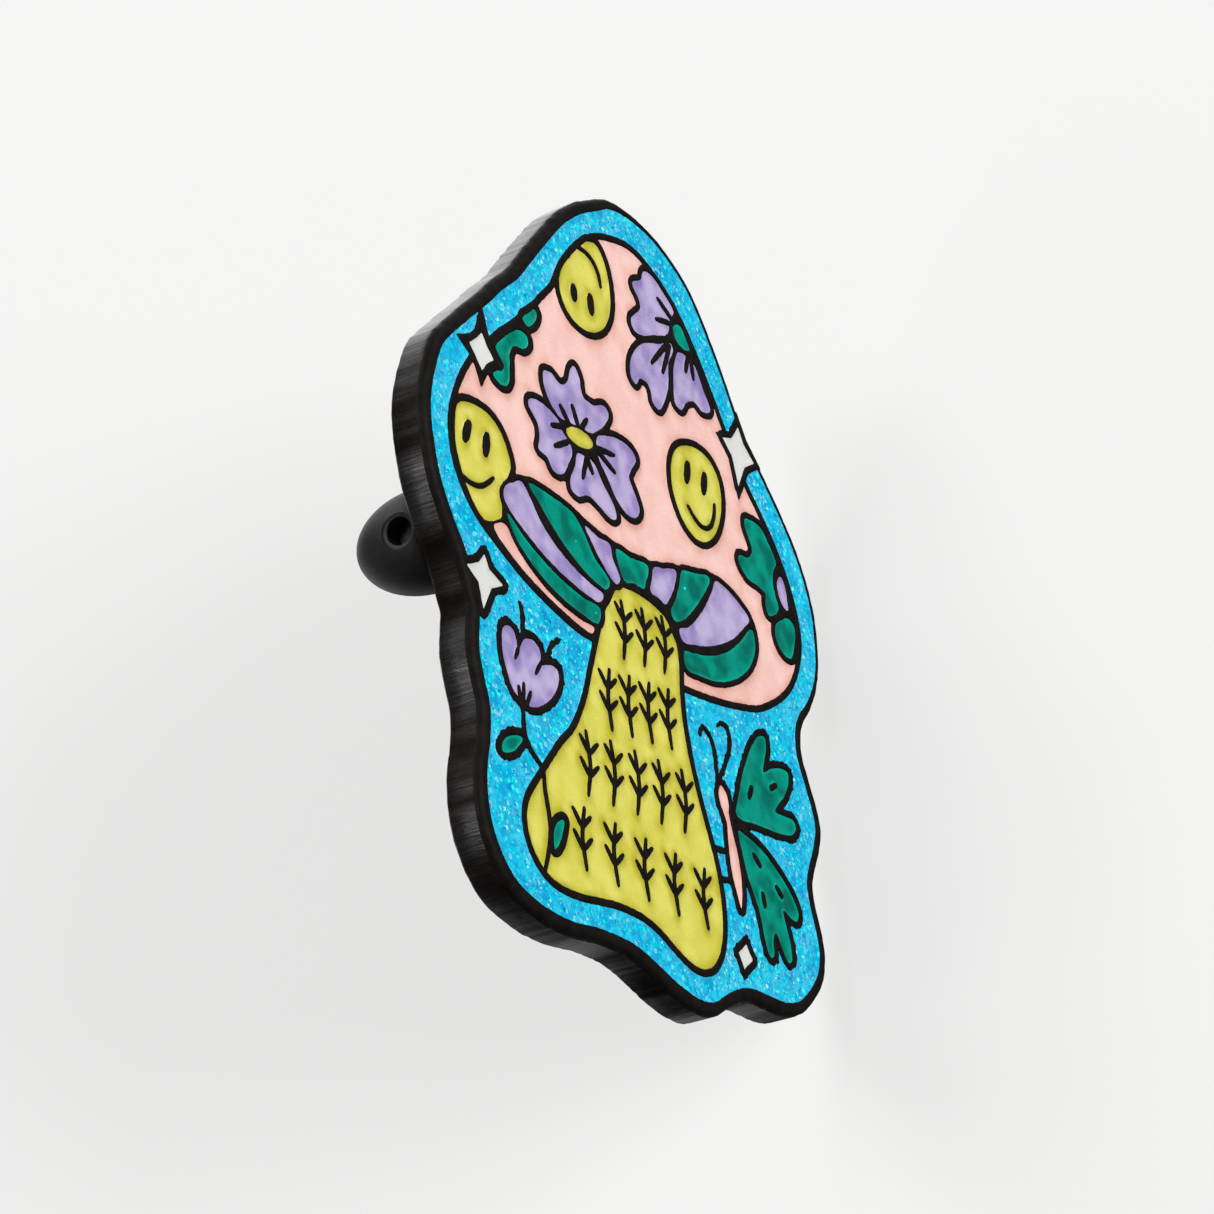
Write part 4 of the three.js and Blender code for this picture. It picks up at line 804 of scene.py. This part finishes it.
def build_pool(name, triangles, materials, density):
    pool = Build()
    add_flakes(pool, triangles, density)
    for triangle in triangles:
        pool.face([pool.vertex(k, "top", enamel_height[k], reach=float(depth_in[k]))
                   for k in triangle])
    sides = border(triangles)
    for a, b in sides:
        pool.face([pool.vertex(b, "top", 0), pool.vertex(a, "top", 0),
                   pool.vertex(a, "floor", FLOOR + CELL_GAP), pool.vertex(b, "floor", FLOOR + CELL_GAP)])
    for a, b, c in fill(flat, sides):
        pool.face([pool.vertex(k, "floor", FLOOR + CELL_GAP) for k in (a, c, b)])
    return pool.piece("enamel_" + name, materials)


# ---------- materials ----------

class Shader:
    """A small helper round one node material; texture space is object millimetres."""

    def __init__(self, name):
        self.material = bpy.data.materials.new(name)
        self.material.use_nodes = True
        self.tree = self.material.node_tree
        self.tree.nodes.clear()
        self.out = self.tree.nodes.new("ShaderNodeOutputMaterial")
        self.main = self.tree.nodes.new("ShaderNodeBsdfPrincipled")
        self.tree.links.new(self.main.outputs[0], self.out.inputs["Surface"])
        coordinates = self.tree.nodes.new("ShaderNodeTexCoord")
        self.space = self.vector("SCALE", coordinates.outputs["Object"], 1000)

    def link(self, value, socket):
        if isinstance(value, bpy.types.NodeSocket):
            self.tree.links.new(value, socket)
        else:
            socket.default_value = value

    def feed(self, node, values):
        """Sets or links inputs by name, a space written as an underscore; tuples are colours."""
        for key, value in values.items():
            self.link((*value, 1) if isinstance(value, tuple) else value, node.inputs[key.replace("_", " ")])

    def set(self, **values):
        self.feed(self.main, values)

    def node(self, kind, settings=(), **inputs):
        node = self.tree.nodes.new(kind)
        for key, value in dict(settings).items():
            setattr(node, key, value)
        self.feed(node, inputs)
        return node

    def operate(self, kind, operation, a, b, second=1):
        node = self.node(kind, {"operation": operation})
        self.link(a, node.inputs[0])
        self.link(b, node.inputs[second])
        return node.outputs[0]

    def vector(self, operation, a, b):
        return self.operate("ShaderNodeVectorMath", operation, a, b, "Scale" if operation == "SCALE" else 1)

    def math(self, operation, a, b=0.0):
        return self.operate("ShaderNodeMath", operation, a, b)

    def noise(self, scale, detail=2.0, stretch=None, roughness=0.5):
        space = self.space if stretch is None else self.vector("MULTIPLY", self.space, stretch)
        return self.node("ShaderNodeTexNoise", Vector=space, Scale=scale, Detail=detail,
                         Roughness=roughness).outputs["Fac"]

    def spread(self, value, low, high, to_low=0.0, to_high=1.0):
        return self.node("ShaderNodeMapRange", Value=value, From_Min=low, From_Max=high,
                         To_Min=to_low, To_Max=to_high).outputs[0]

    def mix(self, factor, a, b, blend="MIX"):
        node = self.tree.nodes.new("ShaderNodeMix")
        node.data_type, node.blend_type = "RGBA", blend
        self.link(factor, node.inputs[0])
        for value, socket in ((a, node.inputs[6]), (b, node.inputs[7])):
            self.link((*value, 1) if isinstance(value, tuple) else value, socket)
        return node.outputs[2]

    def bump(self, height, distance, strength, normal=None):
        node = self.node("ShaderNodeBump", Height=height, Distance=distance / 1000, Strength=strength)
        if normal is not None:
            self.link(normal, node.inputs["Normal"])
        return node.outputs[0]

    def close(self, width, power):
        """1 at the lines, falling to 0 this far from them."""
        reach = self.node("ShaderNodeAttribute", {"attribute_name": "reach"}).outputs["Fac"]
        return self.math("POWER", self.spread(reach, 0.0, width, 1.0, 0.0), power)


def enamel(name, body, near_lines, patch_colour, width=0.5, shine=0.3, open_patches=0.15):
    """Glossy enamel: one colour beside the lines, another in the open, soft patches over both."""
    s = Shader(name)
    near = s.close(width, 1.4)
    patch = s.spread(s.noise(0.7, 1), 0.38, 0.62)
    beside = s.spread(s.close(1.1, 1.2), 0, 1, open_patches, 0.95)
    colour = s.mix(s.math("MULTIPLY", patch, beside), body, patch_colour)
    factor = s.math("MULTIPLY", near, s.spread(s.noise(0.55, 1), 0.38, 0.62, 0.25, 1.0))
    colour = s.mix(factor, colour, near_lines)
    fine = s.spread(s.noise(5.0, 3), 0.25, 0.75, 0.97, 1.02)
    colour = s.mix(1.0, colour, s.node("ShaderNodeCombineColor", Red=fine, Green=fine, Blue=fine).outputs[0],
                   "MULTIPLY")
    s.set(Base_Color=colour, Roughness=s.spread(s.noise(14, 2), 0.3, 0.7, 0.2, 0.32),
          Specular_IOR_Level=shine)
    wave = s.bump(s.noise(0.9, 1), 0.05, 0.7)
    s.set(Normal=s.bump(s.noise(9, 2), 0.002, 0.5, wave))
    return s.material


# Two mosaics of cells over the glitter: cells per mm and shift, then for each tint the random
# channel that picks its cells, that channel's range, and how much of the tint the cells take.
MOSAICS = (
    (2.0, 2.3, ((0, 0.55, 1.0, 0.65, (0.03, 0.60, 0.82)), (1, 0.6, 1.0, 0.6, (0.0, 0.22, 0.55)))),
    (4.0, 0.0, ((0, 0.5, 1.0, 0.5, (0.03, 0.64, 0.86)), (1, 0.6, 1.0, 0.5, (0.0, 0.21, 0.50)),
                (2, 0.8, 0.9, 0.6, (0.0, 0.68, 0.80)))))
# Scattered sparks: cells per mm, shift, share of the cells that spark, and tint.
SPARKS = ((3.0, 7.7, 0.10, (0.22, 0.62, 0.84)), (5.5, 5.3, 0.08, (0.0, 0.90, 0.90)),
          (2.9, 9.1, 0.045, (0.03, 0.98, 0.90)))


def glitter(name):
    """Blue enamel packed with flakes: a mosaic of blues, paler clouds and scattered sparks."""
    s = Shader(name)

    def flakes(scale, shift):
        place = s.vector("ADD", s.space, (shift, shift * 0.7, shift * 1.3))
        found = s.node("ShaderNodeTexVoronoi", {"feature": "F1"}, Vector=place, Scale=scale, Randomness=1.0)
        return s.node("ShaderNodeSeparateColor", Color=found.outputs["Color"]), found.outputs["Distance"]

    cloud = s.spread(s.noise(0.8, 3, None, 0.6), 0.36, 0.64)
    colour = s.mix(cloud, (0.0, 0.33, 0.64), (0.0, 0.49, 0.76))
    for scale, shift, tints in MOSAICS:
        mosaic, _ = flakes(scale, shift)
        for channel, low, high, strength, tint in tints:
            colour = s.mix(s.spread(mosaic.outputs[channel], low, high, 0.0, strength), colour, tint)
    for scale, shift, share, tint in SPARKS:
        pick, distance = flakes(scale, shift)
        chosen = s.math("LESS_THAN", pick.outputs[0], share)
        colour = s.mix(s.math("MULTIPLY", chosen, s.spread(distance, 0.5, 0.4, 0.0, 0.85)), colour, tint)
    swirl = s.node("ShaderNodeTexNoise", Vector=s.space, Scale=1.5, Detail=4.0, Roughness=0.6, Distortion=1.6)
    ridge = s.math("ABSOLUTE", s.math("SUBTRACT", swirl.outputs["Fac"], 0.5))
    haze = s.math("MULTIPLY", s.spread(ridge, 0.0, 0.035, 0.6, 0.0), s.spread(s.noise(0.7, 1), 0.42, 0.6))
    colour = s.mix(haze, colour, (0.22, 0.70, 0.87))
    colour = s.mix(s.math("MULTIPLY", s.close(0.3, 2.0), 0.35), colour, (0.02, 0.52, 0.77))
    s.set(Base_Color=colour, Roughness=s.spread(mosaic.outputs[1], 0, 1, 0.2, 0.4), Specular_IOR_Level=0.2,
          Normal=s.bump(s.noise(7, 2), 0.012, 0.6))
    return s.material


def flake(name, colour):
    """One tint of the flakes that lie at the surface."""
    s = Shader(name)
    s.set(Base_Color=s.mix(s.spread(s.noise(6, 1), 0.3, 0.7), colour, tuple(c * 0.85 for c in colour)),
          Roughness=0.3, Specular_IOR_Level=0.08)
    return s.material


# Where the side is worn bright: x, z and radius.
WORN_SPOTS = ((-19.2, 0.2, 2.6), (-16.0, -9.2, 1.9), (-15.4, -17.4, 1.6), (-5.2, -20.6, 2.6),
              (6.2, -21.4, 2.0), (12.0, -19.4, 1.5))


def black_metal(name, kind):
    """Black-dyed metal; its side is brushed, and polished along the upper left and in worn spots; along the
    upper left its colour is also a lighter grey, a painted reflection.
    """
    s = Shader(name)
    grain = s.noise(11, 3)
    tone = s.mix(s.spread(s.noise(1.6, 3), 0.3, 0.7), (0.004, 0.003, 0.0027), (0.0095, 0.0072, 0.0062))
    s.set(Base_Color=tone, Roughness=s.spread(grain, 0.3, 0.7, 0.5, 0.64), Specular_IOR_Level=0.07)
    if kind == "face":
        s.set(Normal=s.bump(grain, 0.006, 0.6))
    elif kind == "side":
        stretch = (1, 0.045, 1)
        streaks = s.noise(9.0, 4, stretch, 0.7)
        coarse = s.noise(1.1, 2, stretch)
        wear_and_sheen = s.math("MULTIPLY", s.spread(s.noise(0.5, 3, (1, 0.12, 1)), 0.42, 0.62), 0.3)
        for x, z, radius in WORN_SPOTS:
            gap = s.node("ShaderNodeVectorMath", {"operation": "LENGTH"},
                         Vector=s.vector("MULTIPLY", s.vector("SUBTRACT", s.space, (x, 0, z)), (1, 0, 1)))
            wear_and_sheen = s.math("MAXIMUM", wear_and_sheen, s.spread(gap.outputs["Value"], radius, radius * 0.4))
        x, y, z = s.node("ShaderNodeSeparateXYZ", Vector=s.space).outputs
        # Upper left band of the side: polished, and painted lighter grey as a painted reflection of a bright
        # surround.
        upper = s.spread(s.math("SUBTRACT", z, s.math("MULTIPLY", x, 0.5)), 17, 20)
        upper = s.math("MULTIPLY", upper, s.spread(y, -1.8, -1.4))
        wear_and_sheen = s.math("MAXIMUM", wear_and_sheen, upper)
        gleam = s.math("MULTIPLY", wear_and_sheen, s.spread(streaks, 0.35, 0.65, 0.2, 1.0))
        # The grey mixed into the base colour along the upper left is a painted reflection, not the metal's
        # own colour.
        s.set(Base_Color=s.mix(s.math("MULTIPLY", upper, gleam), tone, (0.06, 0.058, 0.056)),
              Roughness=s.spread(wear_and_sheen, 0, 1, 0.5, 0.3), Specular_IOR_Level=s.spread(gleam, 0, 1, 0.03, 1.0),
              Normal=s.bump(streaks, 0.045, 0.9, s.bump(coarse, 0.12, 0.6)))
    else:
        s.set(Normal=s.bump(s.noise(2.4, 2), 0.03, 0.5), Specular_IOR_Level=0.35)
    return s.material


def rubber(name):
    """Black rubber with a dull, slightly uneven skin."""
    s = Shader(name)
    patch = s.spread(s.noise(2.2, 3), 0.3, 0.7)
    s.set(Base_Color=s.mix(patch, (0.007, 0.006, 0.0058), (0.014, 0.0118, 0.0113)),
          Roughness=s.spread(s.noise(9, 3), 0.3, 0.7, 0.48, 0.64),
          Normal=s.bump(s.noise(16, 3), 0.01, 0.6), Specular_IOR_Level=0.3)
    return s.material


PAINTS = {
    "pink": enamel("enamel_pink", (0.935, 0.61, 0.55), (0.74, 0.36, 0.295), (0.83, 0.46, 0.385), 0.6),
    "yellow": enamel("enamel_yellow", (0.74, 0.70, 0.135), (0.42, 0.37, 0.02), (0.55, 0.50, 0.03), 0.5),
    "purple": enamel("enamel_purple", (0.53, 0.44, 0.69), (0.38, 0.31, 0.58), (0.20, 0.14, 0.42), 0.4, 0.4),
    "green": enamel("enamel_green", (0.0, 0.285, 0.205), (0.0, 0.41, 0.295), (0.0, 0.115, 0.085),
                    0.3, 0.08, 0.75),
    "white": enamel("enamel_white", (0.76, 0.76, 0.73), (0.60, 0.60, 0.57), (0.68, 0.70, 0.69), 0.3),
    "blue": glitter("enamel_glitter"),
}
FLAKES = [flake("flake_cyan", (0.0, 0.90, 0.90)), flake("flake_mint", (0.32, 0.96, 0.84)),
          flake("flake_sky", (0.20, 0.68, 0.88)), flake("flake_lilac", (0.45, 0.50, 0.88)),
          flake("flake_deep", (0.0, 0.20, 0.52))]
METALS = [black_metal("black_" + kind, kind) for kind in ("face", "side", "back")]

# ---------- the pin ----------
plate = build_plate(METALS)
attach(plate, "pin")
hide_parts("plate")
for name in sorted(pools):
    paint, triangles = pools[name]
    density = FLAKES_PER_MM2 if paint == "blue" else STRAY_PER_MM2 if "gill" in name else 0
    pool = build_pool(name, triangles, [PAINTS[paint]] + (FLAKES if density else []), density)
    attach(pool, "pin")
    # The cap sparkle's tip stops just short of the rim, so the field also fills the corner behind it.
    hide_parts(*((name, "glitter_corner") if name == "glitter_field" else (name,)))

# ---------- posts and clutches ----------
POST_X = 14.9
POST_LENGTH = 4.7
POST_RADIUS = 0.5
CLUTCH_RADIUS = 2.82
CLUTCH_HEIGHT = 5.5
CLUTCH_GAP = 0.27


def revolve(name, profile, x, material, around):
    """A turned piece on the post axis at x; the profile is (radius, height behind the plate)."""
    vertices, faces, rings = [], [], []
    for radius, height in profile:
        start = len(vertices)
        for k in range(around if radius else 1):
            a = math.tau * k / around
            vertices.append(((x + radius * math.cos(a)) / 1000, height / 1000, radius * math.sin(a) / 1000))
        rings.append([start + (k if radius else 0) for k in range(around)])
    for low, high in zip(rings, rings[1:]):
        for k in range(around):
            n = (k + 1) % around
            faces.append(tuple(dict.fromkeys((low[k], high[k], high[n], low[n]))))
    return make_object(name, vertices, faces, [material], 45)


RECESS_AT = 1.38            # height of the recess in the clutch's side
RECESS_TOWARD = Vector((-0.983, 0, -0.182)).normalized()
# The recess as a turned cutter: radius and distance from the clutch's axis.
RECESS = [(0, 1.45), (0.6, 1.45), (0.7, 1.49), (0.74, 1.6), (0.74, 2.5), (0.78, 2.585), (0.86, 2.62),
          (0.97, 2.63), (1.02, 2.68), (1.06, 2.8), (1.1, 3.4), (0, 3.4)]


def carve(clutch, x):
    """Sinks the round, stepped recess into the clutch's side."""
    cutter = revolve("recess", RECESS, 0, RUBBER, 64)
    turn = Vector((0, 1, 0)).rotation_difference(RECESS_TOWARD).to_matrix().to_4x4()
    cutter.data.transform(Matrix.Translation((x / 1000, RECESS_AT / 1000, 0)) @ turn)
    for made in (cutter, clutch):
        made.data.transform(Matrix.Scale(1000, 4))      # the cut is made in millimetres
    cut = clutch.modifiers.new("recess", "BOOLEAN")
    cut.operation, cut.solver, cut.object = "DIFFERENCE", "EXACT", cutter
    found = clutch.evaluated_get(bpy.context.evaluated_depsgraph_get())
    mesh = bpy.data.meshes.new_from_object(found)
    clutch.modifiers.clear()
    clutch.data = mesh
    mesh.transform(Matrix.Scale(0.001, 4))
    mesh.polygons.foreach_set("use_smooth", [True] * len(mesh.polygons))
    mesh.set_sharp_from_angle(angle=math.radians(40))
    bpy.data.objects.remove(cutter)


POST_METAL = black_metal("black_post", "back")
RUBBER = rubber("black_rubber")
GROOVE = POST_LENGTH - 1.15
POST = [(0, 0.01), (0.95, 0.01), (0.95, 0.14), (0.9, 0.2), (0.72, 0.235), (POST_RADIUS + 0.06, 0.3),
        (POST_RADIUS, 0.4), (POST_RADIUS, GROOVE), (POST_RADIUS * 0.8, GROOVE + 0.1),
        (POST_RADIUS * 0.77, GROOVE + 0.22), (POST_RADIUS * 0.8, GROOVE + 0.34),
        (POST_RADIUS * 0.96, GROOVE + 0.5), (POST_RADIUS * 0.8, GROOVE + 0.75),
        (POST_RADIUS * 0.42, POST_LENGTH - 0.14), (POST_RADIUS * 0.2, POST_LENGTH - 0.03), (0, POST_LENGTH)]
WIDEST = CLUTCH_GAP + 1.03      # where the clutch's dome begins
CLUTCH = [(0, 4.9), (0.35, 4.9), (0.48, 4.82), (0.53, 4.68), (0.53, 0.6), (0.62, 0.4), (0.82, 0.29),
          (0.95, CLUTCH_GAP), (CLUTCH_RADIUS * 0.84, CLUTCH_GAP), (CLUTCH_RADIUS * 0.89, 0.3),
          (CLUTCH_RADIUS * 0.93, 0.4), (CLUTCH_RADIUS * 0.965, 0.6), (CLUTCH_RADIUS * 0.99, 0.9)]
for k in range(32):
    a = k / 32 * math.pi / 2
    CLUTCH.append((CLUTCH_RADIUS * math.cos(a), WIDEST + (CLUTCH_HEIGHT - WIDEST) * math.sin(a)))
CLUTCH.append((0, CLUTCH_HEIGHT))

for side, x in (("left", -POST_X), ("right", POST_X)):
    post = revolve("pin_post_" + side, POST, x, POST_METAL, 48)
    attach(post, "pin")
    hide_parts("post_" + side)
    clutch = revolve("rubber_clutch_" + side, CLUTCH, x, RUBBER, 96)
    carve(clutch, x)
    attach(clutch, "clutch_" + side)
    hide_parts("clutch_" + side)

# ---------- camera, light and backdrop ----------
# The photo's perspective gives the camera's angles and distance. The lamps and the floor are placed
# along its axes, which point to its right, up and back from the pin toward it.
AZIMUTH, ELEVATION, ROLL = (math.radians(angle) for angle in (-148.5542, -26.2227, -2.8797))
DISTANCE = 0.194718         # metres from the row's origin
ASIDE, ABOVE = 0.00025, 0.0013595       # how far the camera is shifted to the right and up
level = Vector((-math.sin(AZIMUTH), math.cos(AZIMUTH), 0))
BACK = Vector((level.y * math.cos(ELEVATION), -level.x * math.cos(ELEVATION), math.sin(ELEVATION)))
RIGHT = level * math.cos(ROLL) + BACK.cross(level) * math.sin(ROLL)
UP = BACK.cross(RIGHT)
EYE = RIGHT * ASIDE + UP * ABOVE + BACK * DISTANCE

scene = bpy.context.scene
camera = bpy.data.objects.new("camera", bpy.data.cameras.new("camera"))
camera.data.sensor_width = 36
camera.data.lens = 103.79
camera.data.clip_start, camera.data.clip_end = 0.005, 20
scene.collection.objects.link(camera)
camera.matrix_world = Matrix.Translation(EYE) @ Matrix((RIGHT, UP, BACK)).transposed().to_4x4()
scene.camera = camera
scene.view_settings.view_transform = "Standard"

CENTRE = Vector((0.001, 0, 0.003))
# Area lamps: metres to the viewer's right, up and toward the viewer, then width, height and watts.
LAMPS = {
    "key": (0.75, 0.45, 0.55, 0.8, 0.8, 12.5),
    "left": (-0.63, 0.46, 0.55, 0.4, 0.4, 5.2),
    "upper_left": (-0.63, 0.61, -0.13, 0.25, 0.4, 2.2),
    "lower_left": (-0.72, -0.18, 0.5, 0.12, 0.3, 0.6),
    "below": (0.06, -0.6, -0.68, 0.6, 0.5, 0.35),
    "bounce": (-0.45, -0.4, -0.65, 0.6, 0.6, 1.6),
    "glint": (0.62, 0.55, -0.25, 0.05, 0.25, 0.5),
    "behind": (-0.15, 0.32, -0.72, 0.9, 0.9, 4.5),
}
for name, (right, up, back, width, height, power) in LAMPS.items():
    data = bpy.data.lights.new(name, "AREA")
    data.shape, data.size, data.size_y, data.energy = "RECTANGLE", width, height, power
    lamp = bpy.data.objects.new(name, data)
    lamp.visible_camera = False
    scene.collection.objects.link(lamp)
    away = RIGHT * right + UP * up + BACK * back
    facing = away.normalized().to_track_quat("Z", "Y").to_matrix().to_4x4()
    lamp.matrix_world = Matrix.Translation(CENTRE + away) @ facing


def mix_shaders(tree, factor, first, second, out):
    blend = tree.nodes.new("ShaderNodeMixShader")
    for value, socket in zip((factor, first, second), blend.inputs):
        tree.links.new(value, socket)
    tree.links.new(blend.outputs[0], out.inputs["Surface"])


world = bpy.data.worlds.new("studio")
scene.world = world
world.use_nodes = True
# The camera sees a pale surround, but only a dim one lights the pin.
nodes = world.node_tree.nodes
pale, dim = nodes["Background"], nodes.new("ShaderNodeBackground")
pale.inputs["Color"].default_value = (0.92, 0.915, 0.91, 1)
dim.inputs["Color"].default_value = (1, 1, 1, 1)
dim.inputs["Strength"].default_value = 0.1
mix_shaders(world.node_tree, nodes.new("ShaderNodeLightPath").outputs["Is Camera Ray"],
            dim.outputs[0], pale.outputs[0], nodes["World Output"])

# The pin leans on its lower right edge, so the floor lies obliquely behind it.
CONTACT = Vector((0.0195, 0, -0.0155))
CLEARANCE = 0.0022          # keeps the floor clear of the pin and of its opened clutches
NORMAL = (RIGHT * -0.2 + UP * 0.45 + BACK * 0.87).normalized()
FLOOR_HALF = 1.5
across = NORMAL.orthogonal().normalized()
along = NORMAL.cross(across)
paper = Shader("paper")
paper.set(Base_Color=(0.27, 0.27, 0.268), Roughness=0.95, Specular_IOR_Level=0.0,
          Emission_Color=(1.0, 0.99, 0.985), Emission_Strength=0.59)
# Seen from behind, the floor is clear, so it never hides the back of the pin.
mix_shaders(paper.tree, paper.node("ShaderNodeNewGeometry").outputs["Backfacing"], paper.main.outputs[0],
            paper.node("ShaderNodeBsdfTransparent").outputs[0], paper.out)
floor = make_object("floor", [CONTACT - NORMAL * CLEARANCE + (across * a + along * b) * FLOOR_HALF
                              for a, b in ((-1, -1), (1, -1), (1, 1), (-1, 1))],
                    [(0, 1, 2, 3)], [paper.material])
floor.visible_glossy = floor.visible_diffuse = floor.visible_shadow = False
